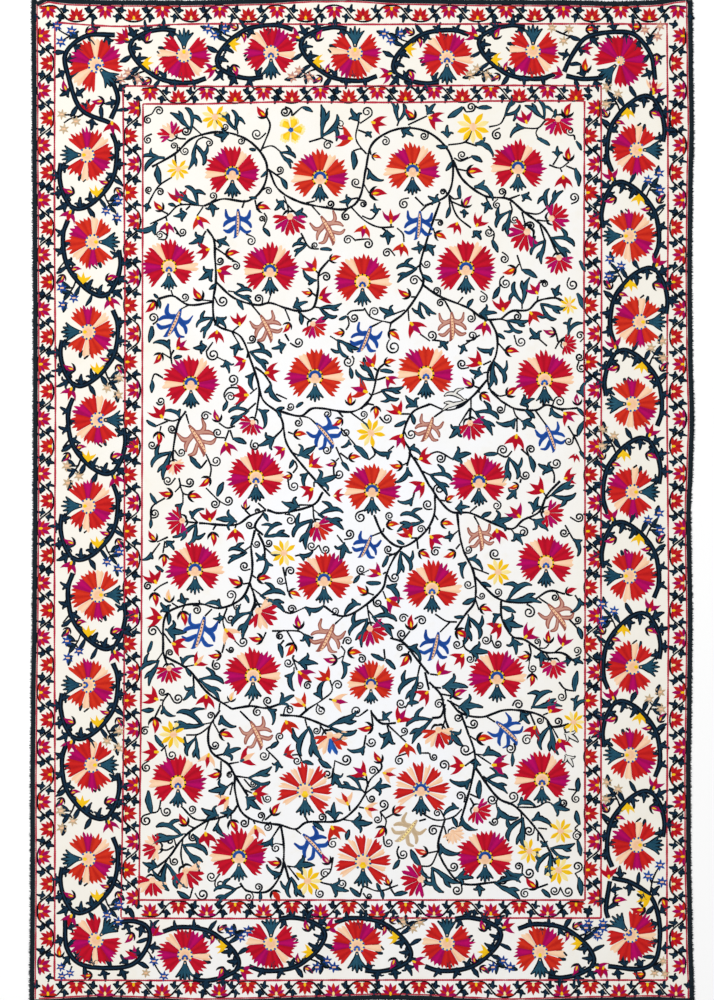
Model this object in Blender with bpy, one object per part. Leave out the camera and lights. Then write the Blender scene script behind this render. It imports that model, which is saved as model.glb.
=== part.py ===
"""Suzani embroidered textile, lying flat with its worked face up.

Frame: metres, +X to the right and +Y to the top of the cloth, +Z out of the worked face.
The origin is at the middle of the back face, which lies flat on z = 0.

The cloth is six lengths of narrow hand-loomed cotton joined edge to edge, one of them split
down its middle. A dark woven tape with a short cut fringe is sewn round all four sides.
"""

from collections import namedtuple
import random

import bmesh
import bpy

# Driving dimensions
CLOTH_WIDTH = 1.577
CLOTH_LENGTH = 2.408
CLOTH_THICKNESS = 0.002
TAPE_THICKNESS = 0.0016
GAP = 0.0003
FRINGE_LENGTH = 0.0058
LOCK_TAPER = 0.0016
NOTCH_WIDTH = 0.0022
LOCKS = {"left": 80, "right": 80, "top": 54, "bottom": 54}
LENGTH_SPREAD = 0.0014
LEAN_SPREAD = 0.0009
FRINGE_SEED = 7
SAME_POINT_DIGITS = 7

# The panels from left to right, each a width of the loom unless it was cut down
Panel = namedtuple("Panel", "name width")
PANELS = [
    Panel("panel_1", 0.2875),
    Panel("panel_2", 0.2860),
    Panel("panel_3", 0.2920),
    Panel("panel_4", 0.1480),
    Panel("panel_5", 0.2830),
    Panel("panel_6", 0.2805),
]

# How each side of the cloth wanders. along is counted from the cloth's top on the long sides
# and from its left on the short ones, out is how far the cloth's edge bulges past its even
# rectangle, and edging is the width there of the tape with its fringe.
Station = namedtuple("Station", "along out edging")
SIDES = {
    "left": [
        Station(0.000, 0.0010, 0.0135),
        Station(0.300, -0.0005, 0.0118),
        Station(0.600, -0.0020, 0.0115),
        Station(0.750, -0.0028, 0.0088),
        Station(0.950, -0.0028, 0.0085),
        Station(1.200, -0.0026, 0.0118),
        Station(1.500, -0.0008, 0.0115),
        Station(1.680, 0.0022, 0.0158),
        Station(1.900, 0.0036, 0.0148),
        Station(2.150, 0.0036, 0.0135),
        Station(2.408, 0.0055, 0.0132),
    ],
    "right": [
        Station(0.000, 0.0008, 0.0098),
        Station(0.150, 0.0022, 0.0112),
        Station(0.300, 0.0046, 0.0108),
        Station(0.450, 0.0014, 0.0120),
        Station(0.650, -0.0005, 0.0124),
        Station(0.850, 0.0012, 0.0120),
        Station(1.010, 0.0052, 0.0096),
        Station(1.130, 0.0016, 0.0110),
        Station(1.230, -0.0030, 0.0138),
        Station(1.500, 0.0010, 0.0108),
        Station(1.700, -0.0012, 0.0112),
        Station(1.840, -0.0036, 0.0118),
        Station(2.050, -0.0031, 0.0112),
        Station(2.250, 0.0004, 0.0090),
        Station(2.408, 0.0050, 0.0085),
    ],
    "top": [
        Station(0.000, 0.0065, 0.0105),
        Station(0.090, -0.0026, 0.0100),
        Station(0.190, -0.0052, 0.0098),
        Station(0.370, -0.0060, 0.0100),
        Station(0.530, -0.0022, 0.0104),
        Station(0.680, 0.0050, 0.0098),
        Station(0.760, 0.0056, 0.0092),
        Station(0.880, -0.0010, 0.0100),
        Station(1.080, -0.0042, 0.0108),
        Station(1.270, -0.0050, 0.0110),
        Station(1.400, -0.0080, 0.0108),
        Station(1.490, -0.0056, 0.0105),
        Station(1.577, 0.0060, 0.0100),
    ],
    "bottom": [
        Station(0.000, 0.0055, 0.0110),
        Station(0.150, -0.0010, 0.0108),
        Station(0.310, 0.0030, 0.0108),
        Station(0.400, 0.0070, 0.0106),
        Station(0.530, 0.0042, 0.0108),
        Station(0.640, 0.0002, 0.0105),
        Station(0.860, -0.0056, 0.0098),
        Station(0.930, -0.0036, 0.0100),
        Station(1.050, 0.0030, 0.0106),
        Station(1.130, 0.0070, 0.0108),
        Station(1.370, 0.0012, 0.0106),
        Station(1.490, -0.0010, 0.0104),
        Station(1.577, 0.0026, 0.0104),
    ],
}

# The looks of the real materials: colour, roughness, metallic
COTTON = ("karbos_cotton", (0.86, 0.84, 0.76, 1.0), 0.85, 0.0)
DARK_TAPE = ("dark_edging", (0.006, 0.014, 0.022, 1.0), 0.75, 0.0)


def clear_scene():
    """Start from an empty scene."""
    for item in list(bpy.data.objects):
        bpy.data.objects.remove(item, do_unlink=True)


def make_material(look):
    """A plain Principled material from a name, colour, roughness and metallic value."""
    name, colour, roughness, metallic = look
    material = bpy.data.materials.new(name)
    material.use_nodes = True
    shader = material.node_tree.nodes["Principled BSDF"]
    shader.inputs["Base Color"].default_value = colour
    shader.inputs["Roughness"].default_value = roughness
    shader.inputs["Metallic"].default_value = metallic
    material.diffuse_color = colour
    return material


def read_stations(side, along):
    """The edge's outward bulge and the edging's width at a place on a side, eased between stations."""
    stations = SIDES[side]
    if along <= stations[0].along:
        return stations[0].out, stations[0].edging
    for before, after in zip(stations, stations[1:]):
        if along <= after.along:
            share = (along - before.along) / (after.along - before.along)
            ease = share * share * (3.0 - 2.0 * share)
            out = before.out + (after.out - before.out) * ease
            edging = before.edging + (after.edging - before.edging) * ease
            return out, edging
    return stations[-1].out, stations[-1].edging


def edging_limits(side):
    """Where a side's edging starts and ends: the long sides run past the short ones' edging."""
    if side in ("left", "right"):
        place = 0 if side == "left" else -1
        top = SIDES["top"][place]
        bottom = SIDES["bottom"][place]
        return -(top.out + top.edging), CLOTH_LENGTH + bottom.out + bottom.edging
    place = 0 if side == "top" else -1
    return -SIDES["left"][place].out, CLOTH_WIDTH + SIDES["right"][place].out


def side_stops(side):
    """Where each lock of a side starts and where it ends, in order, and the end of the side."""
    start, end = edging_limits(side)
    pitch = (end - start) / LOCKS[side]
    stops = []
    for number in range(LOCKS[side]):
        near = start + number * pitch
        stops += [near, near + pitch - NOTCH_WIDTH]
    stops[-1] = end
    return stops


STOPS = {side: side_stops(side) for side in SIDES}


def side_point(side, along, beyond):
    """A point in the plane on a side, straight between its stops, moved outward by beyond."""
    stops = STOPS[side]
    after = next((stop for stop in stops if stop >= along), stops[-1])
    before = stops[max(stops.index(after) - 1, 0)]
    share = (along - before) / (after - before) if after > before else 0.0
    out_before = read_stations(side, before)[0]
    out = out_before + (read_stations(side, after)[0] - out_before) * share + beyond
    if side == "left":
        return -CLOTH_WIDTH / 2 - out, CLOTH_LENGTH / 2 - along
    if side == "right":
        return CLOTH_WIDTH / 2 + out, CLOTH_LENGTH / 2 - along
    if side == "top":
        return -CLOTH_WIDTH / 2 + along, CLOTH_LENGTH / 2 + out
    return -CLOTH_WIDTH / 2 + along, -CLOTH_LENGTH / 2 - out


def edge_points(side, start, end):
    """The cloth's edge along a side from start to end, with a point at both and at each stop."""
    inner = [stop for stop in STOPS[side] if start + GAP < stop < end - GAP]
    return [side_point(side, along, 0.0) for along in [start] + inner + [end]]


def extrude_faces(name, faces, thickness, material):
    """A closed solid: flat faces, given as lists of points in the plane, raised by a thickness."""
    mesh = bpy.data.meshes.new(name)
    work = bmesh.new()
    corners = {}
    bottom = []
    for points in faces:
        loop = []
        for x, y in points:
            key = (round(x, SAME_POINT_DIGITS), round(y, SAME_POINT_DIGITS))
            if key not in corners:
                corners[key] = work.verts.new((x, y, 0.0))
            loop.append(corners[key])
        bottom.append(work.faces.new(loop))
    raised = bmesh.ops.extrude_face_region(work, geom=bottom, use_keep_orig=True)
    top = [item for item in raised["geom"] if isinstance(item, bmesh.types.BMVert)]
    bmesh.ops.translate(work, verts=top, vec=(0.0, 0.0, thickness))
    bmesh.ops.recalc_face_normals(work, faces=work.faces)
    work.to_mesh(mesh)
    work.free()
    mesh.materials.append(material)
    piece = bpy.data.objects.new(name, mesh)
    bpy.context.collection.objects.link(piece)


def panel_outline(start, end, first, last):
    """A panel's outline, start and end being its sides' distances from the cloth's left edge."""
    left = start + GAP / 2
    right = end - GAP / 2
    top_left = STOPS["top"][0] if first else left
    top_right = STOPS["top"][-1] if last else right
    bottom_left = STOPS["bottom"][0] if first else left
    bottom_right = STOPS["bottom"][-1] if last else right
    top = edge_points("top", top_left, top_right)
    bottom = edge_points("bottom", bottom_left, bottom_right)
    down = []
    up = []
    if last:
        down = edge_points("right", -SIDES["top"][-1].out, CLOTH_LENGTH + SIDES["bottom"][-1].out)[1:-1]
    if first:
        up = edge_points("left", -SIDES["top"][0].out, CLOTH_LENGTH + SIDES["bottom"][0].out)[1:-1]
    return top + down + bottom[::-1] + up[::-1]


def add_panels(material):
    """The lengths of cotton, side by side with a hairline gap at each seam."""
    start = 0.0
    for place, panel in enumerate(PANELS):
        end = start + panel.width
        outline = panel_outline(start, end, place == 0, place == len(PANELS) - 1)
        extrude_faces(panel.name, [outline], CLOTH_THICKNESS, material)
        start = end


def tape_point(side, along):
    """A point on the line where the tape ends and its fringe begins."""
    return side_point(side, along, read_stations(side, along)[1] - FRINGE_LENGTH)


def edging_faces(side, shuffle):
    """Faces of one side's tape, with a row of separate four-sided locks along its outer edge."""
    stops = STOPS[side]
    faces = []
    for place in range(0, len(stops), 2):
        near, root = stops[place], stops[place + 1]
        first = place == 0
        last = place + 2 == len(stops)
        reach = read_stations(side, (near + root) / 2)[1] + shuffle.uniform(-LENGTH_SPREAD, 0.0)
        lean = shuffle.uniform(-LEAN_SPREAD, LEAN_SPREAD)
        tip_near = side_point(side, near if first else near + LOCK_TAPER + lean, reach)
        tip_root = side_point(side, root if last else root - LOCK_TAPER + lean, reach)
        inner_near = side_point(side, near, GAP)
        inner_root = side_point(side, root, GAP)
        outer_near = tape_point(side, near)
        outer_root = tape_point(side, root)
        faces.append([inner_near, inner_root, outer_root, outer_near])
        faces.append([outer_near, outer_root, tip_root, tip_near])
        if not last:
            far = stops[place + 2]
            faces.append([inner_root, side_point(side, far, GAP), tape_point(side, far), outer_root])
    return faces


def add_edging(material):
    """The dark fringed tape on each side, laid against the cloth's edge."""
    shuffle = random.Random(FRINGE_SEED)
    for side in SIDES:
        extrude_faces("edging_" + side, edging_faces(side, shuffle), TAPE_THICKNESS, material)


def centre_on_origin():
    """Move everything so that the middle of the whole outline stands over the origin."""
    points = [vertex.co for item in bpy.data.objects for vertex in item.data.vertices]
    middle_x = (min(point.x for point in points) + max(point.x for point in points)) / 2
    middle_y = (min(point.y for point in points) + max(point.y for point in points)) / 2
    for item in bpy.data.objects:
        for vertex in item.data.vertices:
            vertex.co.x -= middle_x
            vertex.co.y -= middle_y


clear_scene()
add_panels(make_material(COTTON))
add_edging(make_material(DARK_TAPE))
centre_on_origin()
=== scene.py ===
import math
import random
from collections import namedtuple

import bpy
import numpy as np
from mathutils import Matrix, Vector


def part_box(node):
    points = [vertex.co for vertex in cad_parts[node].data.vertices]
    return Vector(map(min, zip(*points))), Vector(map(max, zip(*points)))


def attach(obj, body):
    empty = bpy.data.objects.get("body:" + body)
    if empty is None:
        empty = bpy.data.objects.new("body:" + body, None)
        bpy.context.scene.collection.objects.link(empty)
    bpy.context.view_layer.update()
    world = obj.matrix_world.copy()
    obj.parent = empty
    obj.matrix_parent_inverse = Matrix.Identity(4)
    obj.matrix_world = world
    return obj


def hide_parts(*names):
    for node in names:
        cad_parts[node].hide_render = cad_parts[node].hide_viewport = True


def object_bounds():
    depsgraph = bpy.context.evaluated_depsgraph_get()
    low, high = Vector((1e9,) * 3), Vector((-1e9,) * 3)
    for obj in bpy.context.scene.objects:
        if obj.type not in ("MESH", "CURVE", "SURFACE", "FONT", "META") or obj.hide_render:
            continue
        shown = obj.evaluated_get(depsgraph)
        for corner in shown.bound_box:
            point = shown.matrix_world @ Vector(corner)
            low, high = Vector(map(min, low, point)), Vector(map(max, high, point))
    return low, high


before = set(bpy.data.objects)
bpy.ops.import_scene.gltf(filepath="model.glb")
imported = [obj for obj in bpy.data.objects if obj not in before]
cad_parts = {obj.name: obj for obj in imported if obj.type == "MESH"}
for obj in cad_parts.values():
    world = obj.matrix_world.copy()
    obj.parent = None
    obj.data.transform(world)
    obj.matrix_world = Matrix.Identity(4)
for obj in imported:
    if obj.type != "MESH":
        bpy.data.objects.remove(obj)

# %% [markdown]
# # A silk suzani, laid out face up
# The real object is a large cover of six narrow cotton lengths, worked all over in silk chain
# stitch and edged with a dark fringed tape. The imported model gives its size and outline. Here the
# cloth becomes thin sheets, and every petal, leaf and stem becomes a low raised body of silk that
# lies on it. Raised bodies were chosen over a painted pattern, because real floss stands about
# half a millimetre proud and catches the light along its edges.

cad_box = [[float(value) for value in corner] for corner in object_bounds()]
print("model box", cad_box)

# %% [markdown]
# ## The drafting sheet
# Suzani patterns are drawn on the joined cloth before it is worked. This script does the same: all
# places are given on a drafting sheet, counted rightward and downward from a corner. A unit of it
# is one pixel of the photograph, which is 2.42 mm of cloth, and one function turns units into
# metres. The panels' own edges tie the sheet to the model, so the pattern lands on the seams.

# %% Turn drafting places into places on the cloth
MM = 0.001
UNIT = 2.42 * MM
SHEET_WIDTH = 714
SHEET_HEIGHT = 1000
FIRST_SEAM_U = 155.0
CLOTH_TOP_V = -0.2
FIRST_SEAM_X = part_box("panel_2")[0][0]
CLOTH_TOP_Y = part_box("panel_1")[1][1]


def to_cloth(places):
    """Drafting places, as rows of u and v, in metres on the cloth."""
    places = np.asarray(places, float)
    x = FIRST_SEAM_X + (places[..., 0] - FIRST_SEAM_U) * UNIT
    y = CLOTH_TOP_Y - (places[..., 1] - CLOTH_TOP_V) * UNIT
    return np.stack([x, y], axis=-1)


def read_rows(names, text):
    """A text table as named tuples, one for each line. A turn that isn't written is 1."""
    row = namedtuple("Row", names, defaults=(1,) if names.endswith(" turn") else ())
    rows = []
    for line in filter(None, text.splitlines()):
        cells = []
        for word in line.split():
            try:
                cells.append(float(word))
            except ValueError:
                cells.append(word)
        rows.append(row(*cells))
    return rows


print("one unit is", UNIT, "m; the first seam is at x", round(FIRST_SEAM_X, 4))

# %% [markdown]
# ## The lie of the cloth
# A worked cloth is never quite flat: the stitching draws it in, so it puckers softly between the
# motifs and along the seams. Cloth simulation could give that, but the relief is under a
# millimetre, so a sum of a few slow waves is quicker and gives every stitch a height to sit on.

# %% The height of the cloth's face
CLOTH_FACE = 1.5 * MM
# Soft puckers: height in mm, wavelengths across and along in metres, and where each wave starts
Pucker = namedtuple("Pucker", "height across along start")
PUCKERS = [
    Pucker(0.28, 0.230, 0.310, 0.4),
    Pucker(0.22, 0.120, -0.410, 1.9),
    Pucker(0.15, 0.074, 0.093, 3.1),
    Pucker(0.10, -0.047, 0.061, 5.2),
]


def cloth_height(x, y):
    """Height of the cloth's face above the surface that it lies on."""
    height = np.full(np.shape(x), CLOTH_FACE)
    for pucker in PUCKERS:
        phase = 2 * math.pi * (x / pucker.across + y / pucker.along) + pucker.start
        height = height + pucker.height * MM * np.sin(phase)
    return height


# %% [markdown]
# ## Reading the outline from the model
# The edges of the cloth wander, and the scene must wander with them. Each side's line is read
# from the corners of the panels, so the sheets, the red border lines and the tape all share it.

# %% Read the wandering sides
PANELS = ["panel_%d" % number for number in range(1, 7)]


def node_corners(name):
    """The corners of a node's mesh in metres, as rows of x, y, z."""
    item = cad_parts[name]
    return np.array([item.matrix_world @ vertex.co for vertex in item.data.vertices])


cloth_corners = np.concatenate([node_corners(name) for name in PANELS])
cloth_low = cloth_corners.min(axis=0)
cloth_high = cloth_corners.max(axis=0)
SIDE_REACH = 0.02


def side_line(along, across, limit):
    """Points of one side, sorted along it: those within SIDE_REACH of that side's limit."""
    near = np.abs(cloth_corners[:, across] - limit) < SIDE_REACH
    points = cloth_corners[near]
    order = np.argsort(points[:, along], kind="stable")
    return points[order, along], points[order, across]


TOP_LINE = side_line(0, 1, cloth_high[1])
BOTTOM_LINE = side_line(0, 1, cloth_low[1])
LEFT_LINE = side_line(1, 0, cloth_low[0])
RIGHT_LINE = side_line(1, 0, cloth_high[0])


def top_edge(x):
    return np.interp(x, *TOP_LINE)


def bottom_edge(x):
    return np.interp(x, *BOTTOM_LINE)


def left_edge(y):
    return np.interp(y, *LEFT_LINE)


def right_edge(y):
    return np.interp(y, *RIGHT_LINE)


print("cloth from", cloth_low.round(4), "to", cloth_high.round(4))

# %% [markdown]
# ## Materials
# Three finishes cover the whole piece: cotton, floss silk and a dark tape. Painted images could
# give them, but small nets of procedural nodes stay sharp at any distance and are easy to edit.

# %% Helpers for colours and nodes


def linear(code):
    """An sRGB hex colour as linear red, green, blue and alpha."""
    channels = [int(code[place:place + 2], 16) / 255 for place in (0, 2, 4)]
    curve = [c / 12.92 if c <= 0.04045 else ((c + 0.055) / 1.055) ** 2.4 for c in channels]
    return (*curve, 1.0)


def add_node(tree, kind, links=None, **settings):
    """Add a node. settings are its properties or, for names of sockets, their values."""
    node = tree.nodes.new(kind)
    for name, value in settings.items():
        if hasattr(node, name):
            setattr(node, name, value)
        else:
            node.inputs[name.replace("_", " ")].default_value = value
    for socket, source in (links or {}).items():
        tree.links.new(source, node.inputs[socket])
    return node


def new_material(name):
    """An empty node material with its Principled shader."""
    material = bpy.data.materials.new(name)
    material.use_nodes = True
    return material, material.node_tree, material.node_tree.nodes["Principled BSDF"]


# %% [markdown]
# ## Karbos cotton
# Karbos is a plain weave of hand-spun cotton, undyed. It is quite matt, and it has yellowed
# unevenly toward the sides, so the eye sees a warm, mottled ground. Two slow noises give the
# mottling, and two crossed waves give the weave.

# %% Karbos cotton
# Hand-loomed threads lie about 0.7 mm apart, too fine to show here, so they are drawn at 2.4 mm.
WEAVE = 2.4 * MM
COTTON_PALE = "F1F2F5"
COTTON_CREAM = "EEEAE0"
COTTON_STAIN = "E8DFC8"
# How far across and along, in metres, the cloth turns from pale to cream, and where it is palest
CREAM_ACROSS = 0.62
CREAM_ALONG = 1.25
PALEST_DOWN = 0.3


def make_karbos():
    """Hand-spun cotton: matt, pale in the middle of the field and creamier toward its borders."""
    material, tree, shader = new_material("karbos_cotton")
    place = add_node(tree, "ShaderNodeNewGeometry").outputs["Position"]
    parts = add_node(tree, "ShaderNodeSeparateXYZ", {"Vector": place})
    x, y = parts.outputs["X"], parts.outputs["Y"]
    blotch = add_node(tree, "ShaderNodeTexNoise", {"Vector": place}, Scale=5.0, Detail=4.0)
    # How far a place is from the palest point, a little below the middle
    across = add_node(tree, "ShaderNodeMath", {0: x}, operation="DIVIDE")
    across.inputs[1].default_value = CREAM_ACROSS
    low = add_node(tree, "ShaderNodeMath", {0: y}, operation="ADD")
    low.inputs[1].default_value = PALEST_DOWN
    down = add_node(tree, "ShaderNodeMath", {0: low.outputs[0]}, operation="DIVIDE")
    down.inputs[1].default_value = CREAM_ALONG
    across = add_node(tree, "ShaderNodeMath", {0: across.outputs[0]}, operation="ABSOLUTE")
    down = add_node(tree, "ShaderNodeMath", {0: down.outputs[0]}, operation="ABSOLUTE")
    far = add_node(tree, "ShaderNodeMath", {0: across.outputs[0], 1: down.outputs[0]}, operation="MAXIMUM")
    wander = add_node(
        tree, "ShaderNodeMath", {0: blotch.outputs["Fac"], 1: far.outputs[0]}, operation="ADD"
    )
    tone = add_node(tree, "ShaderNodeValToRGB", {"Fac": add_node(
        tree, "ShaderNodeMapRange", {"Value": wander.outputs[0]}, From_Min=0.75, From_Max=1.55
    ).outputs[0]})
    tone.color_ramp.elements[0].color = linear(COTTON_PALE)
    tone.color_ramp.elements[1].color = linear(COTTON_CREAM)
    fine = add_node(tree, "ShaderNodeTexNoise", {"Vector": place}, Scale=28.0, Detail=5.0)
    stain_share = add_node(
        tree, "ShaderNodeMapRange", {"Value": fine.outputs["Fac"]}, From_Min=0.56, From_Max=0.82, To_Max=0.35
    )
    stained = add_node(
        tree, "ShaderNodeMix",
        {"Factor": stain_share.outputs[0], 6: tone.outputs["Color"]}, data_type="RGBA",
    )
    stained.inputs[7].default_value = linear(COTTON_STAIN)
    tree.links.new(stained.outputs[2], shader.inputs["Base Color"])
    warp = add_node(tree, "ShaderNodeTexWave", {"Vector": place}, Scale=1 / (WEAVE * 20), Distortion=0.6)
    weft = add_node(
        tree, "ShaderNodeTexWave", {"Vector": place}, bands_direction="Y",
        Scale=1 / (WEAVE * 20), Distortion=0.6,
    )
    woven = add_node(
        tree, "ShaderNodeMath", {0: warp.outputs["Fac"], 1: weft.outputs["Fac"]}, operation="ADD"
    )
    bump = add_node(tree, "ShaderNodeBump", {"Height": woven.outputs[0]}, Strength=0.25, Distance=0.15 * MM)
    tree.links.new(bump.outputs["Normal"], shader.inputs["Normal"])
    shader.inputs["Roughness"].default_value = 0.9
    shader.inputs["Specular IOR Level"].default_value = 0.25
    return material


# %% [markdown]
# ## Floss silk
# The floss is loosely twisted and dyed in small lots, so each colour wavers. Along its rows the
# colour is painted paler on the crests and darker in the grooves: painted sheen and shade, over a low
# real gloss. One function makes every dye, from a pale and a deep shade of it.

# %% Floss silk in its dyes
# Real rows of chain stitch lie about 1.3 mm apart. They are too fine to show and drawn at 2.6 mm.
STITCH_ROW = 2.6 * MM
LINK = 3.2 * MM
# Each dye: its pale and deep shades, mixed by its uneven lots and by the painted shade of its stitch rows,
# and the material slot that it belongs to
Dye = namedtuple("Dye", "pale deep slot")
DYES = {
    "navy": Dye("081320", "03070D", "navy_silk"),
    "indigo": Dye("1C3E56", "0A2134", "teal_silk"),
    "teal": Dye("33687C", "12394E", "teal_silk"),
    "crimson": Dye("C00E28", "A00820", "crimson_silk"),
    "scarlet": Dye("C8221E", "AA1418", "orange_silk"),
    "orange": Dye("CE301C", "B01C14", "orange_silk"),
    "magenta": Dye("B4045E", "90024C", "magenta_silk"),
    "peach": Dye("F6D0AE", "ECB990", "peach_silk"),
    "yellow": Dye("F6D02A", "E9B40A", "yellow_silk"),
    "straw": Dye("F7E7A6", "EFD88A", "yellow_silk"),
    "blue": Dye("2660B4", "143680", "blue_silk"),
    "brown": Dye("D6A898", "BA8474", "brown_silk"),
    "rust": Dye("A8645A", "884A40", "brown_silk"),
    "tan": Dye("D6C2A4", "B89E7C", "brown_silk"),
    "red": Dye("C9485A", "A62638", "red_silk"),
    "ivory": Dye("F2F0EA", "DEDCD6", "karbos_cotton"),
}


def make_silk(name, dye):
    """Floss silk in one dye: satin rows of stitches that follow the motif, in uneven shades, with painted
    shade in the grooves between rows.
    """
    material, tree, shader = new_material(name + "_floss_silk")
    place = add_node(tree, "ShaderNodeNewGeometry").outputs["Position"]
    rows = add_node(tree, "ShaderNodeUVMap", uv_map="stitch_rows").outputs["UV"]
    lot = add_node(tree, "ShaderNodeTexNoise", {"Vector": place}, Scale=14.0, Detail=2.0)
    # The ridges of the stitch rows: they give the bump's height, and in the colour they are a painted shade,
    # paler on the crests and darker in the grooves
    row_ridges = add_node(
        tree, "ShaderNodeTexWave", {"Vector": rows}, bands_direction="Y",
        Scale=1 / (STITCH_ROW * 20), Distortion=1.5, Detail=1.0,
    )
    links_wave = add_node(
        tree, "ShaderNodeTexWave", {"Vector": rows}, Scale=1 / (LINK * 20), Distortion=2.0,
    )
    fibre = add_node(tree, "ShaderNodeTexNoise", {"Vector": place}, Scale=260.0, Detail=2.0)
    mixed = add_node(
        tree, "ShaderNodeMath", {0: lot.outputs["Fac"], 1: fibre.outputs["Fac"]}, operation="ADD"
    )
    # Colour: random dye lots and fibres, plus the row ridges as painted shade
    shade = add_node(
        tree, "ShaderNodeMath", {0: mixed.outputs[0], 1: row_ridges.outputs["Fac"]}, operation="ADD"
    )
    share = add_node(tree, "ShaderNodeMapRange", {"Value": shade.outputs[0]}, From_Min=0.7, From_Max=2.0)
    colour = add_node(tree, "ShaderNodeMix", {"Factor": share.outputs[0]}, data_type="RGBA")
    colour.inputs[6].default_value = linear(dye.deep)
    colour.inputs[7].default_value = linear(dye.pale)
    tree.links.new(colour.outputs[2], shader.inputs["Base Color"])
    relief = add_node(
        tree, "ShaderNodeMath", {0: row_ridges.outputs["Fac"], 1: links_wave.outputs["Fac"]}, operation="ADD"
    )
    bump = add_node(tree, "ShaderNodeBump", {"Height": relief.outputs[0]}, Strength=0.35, Distance=0.2 * MM)
    tree.links.new(bump.outputs["Normal"], shader.inputs["Normal"])
    shader.inputs["Roughness"].default_value = 0.7
    shader.inputs["Specular IOR Level"].default_value = 0.06
    return material


# %% [markdown]
# ## Dark tape
# The edging is a cotton tape dyed nearly black, with a cut fringe. It is hairy and reflects
# little, so fine noise between two dark shades is enough.

# %% Dark tape
def make_tape():
    """Dark green-black cotton tape and its cut fringe: matt and hairy."""
    material, tree, shader = new_material("dark_woven_tape")
    place = add_node(tree, "ShaderNodeNewGeometry").outputs["Position"]
    fibre = add_node(tree, "ShaderNodeTexNoise", {"Vector": place}, Scale=300.0, Detail=3.0)
    colour = add_node(tree, "ShaderNodeMix", {"Factor": fibre.outputs["Fac"]}, data_type="RGBA")
    colour.inputs[6].default_value = linear("04090E")
    colour.inputs[7].default_value = linear("12242E")
    tree.links.new(colour.outputs[2], shader.inputs["Base Color"])
    shader.inputs["Roughness"].default_value = 0.85
    shader.inputs["Specular IOR Level"].default_value = 0.2
    return material


karbos = make_karbos()
tape_look = make_tape()
silk_looks = {name: make_silk(name, dye) for name, dye in DYES.items()}
print("materials:", 2 + len(silk_looks))

# %% [markdown]
# ## Gathering stitches into pieces
# There are thousands of petals, leaves and stems. Each would be an object of its own in a small
# scene, but here the work in one colour and one area is gathered into one mesh, which keeps the
# scene light. A Work holds the growing list of points and faces, and makes the object at the end.

# %% A piece of work in one colour
ROOT_DEPTH = -0.1


class Work:
    """Embroidery in one dye, gathered motif by motif."""

    def __init__(self, name, dye):
        self.name = name
        self.dye = dye
        self.points = []
        self.rows = []
        self.faces = []
        self.count = 0

    def add_grid(self, places, heights, rows):
        """Add a sheet of stitches: a grid of drafting places and their heights in mm over the cloth."""
        deep, wide = heights.shape
        flat = to_cloth(places.reshape(-1, 2))
        z = cloth_height(flat[:, 0], flat[:, 1]) + heights.reshape(-1) * MM
        self.points.append(np.column_stack([flat, z]))
        self.rows.append(rows.reshape(-1, 2))
        index = np.arange(deep * wide).reshape(deep, wide) + self.count
        a, b = index[:-1, :-1], index[:-1, 1:]
        c, d = index[1:, 1:], index[1:, :-1]
        self.faces.append(np.stack([a, b, c, d], axis=-1).reshape(-1, 4))
        self.count += deep * wide

    def finish(self):
        """Make the mesh, facing up, with its stitch rows and a flat map for baking."""
        points = np.concatenate(self.points)
        faces = np.concatenate(self.faces)
        rows = np.concatenate(self.rows)
        corner = points[faces]
        turn = np.cross(corner[:, 2] - corner[:, 0], corner[:, 3] - corner[:, 1])[:, 2]
        faces[turn < 0] = faces[turn < 0][:, ::-1]
        return make_piece(self.name, points, faces, silk_looks[self.dye], rows)


def make_piece(name, points, faces, look, rows=None):
    """An object from points and four-sided faces, smooth shaded, with its maps, riding on the root."""
    mesh = bpy.data.meshes.new(name)
    mesh.vertices.add(len(points))
    mesh.vertices.foreach_set("co", np.asarray(points, np.float32).ravel())
    mesh.loops.add(faces.size)
    mesh.loops.foreach_set("vertex_index", faces.astype(np.int32).ravel())
    mesh.polygons.add(len(faces))
    mesh.polygons.foreach_set("loop_start", np.arange(0, faces.size, 4, dtype=np.int32))
    mesh.update(calc_edges=True)
    mesh.validate()
    mesh.shade_smooth()
    loop_points = np.empty(len(mesh.loops), np.int32)
    mesh.loops.foreach_get("vertex_index", loop_points)
    low, high = cad_box[0], cad_box[1]
    flat = (points[:, :2] - low[:2]) / (np.array(high[:2]) - low[:2])
    bake_map = mesh.uv_layers.new(name="OFBake")
    bake_map.uv.foreach_set("vector", flat[loop_points].astype(np.float32).ravel())
    if rows is not None:
        row_map = mesh.uv_layers.new(name="stitch_rows")
        row_map.uv.foreach_set("vector", (rows[loop_points] * UNIT).astype(np.float32).ravel())
    piece = bpy.data.objects.new(name, mesh)
    bpy.context.collection.objects.link(piece)
    mesh.materials.append(look)
    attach(piece, "root")
    return piece


works = {}
# The place, aim and length of a motif, and the same with its kind and the side that it turns to
Place = namedtuple("Place", "u v aim size")
Spot = namedtuple("Spot", "kind u v aim size turn")


def work(area, dye):
    """The work in one dye in one area, begun when it is first asked for."""
    name = "%s_%s" % (area, dye)
    if name not in works:
        works[name] = Work(name, dye)
    return works[name]


# %% [markdown]
# ## Strokes
# Nearly every motif is a bundle of strokes: a line that swells and narrows, filled with rows of
# chain stitch. A stroke is a smooth curve through a few points, each with a half width, swept
# into a low dome. Curve objects with a bevel could do it too, but a grid keeps the rows of
# stitches running along the stroke, and needs far fewer faces.

# %% Smooth routes


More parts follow.
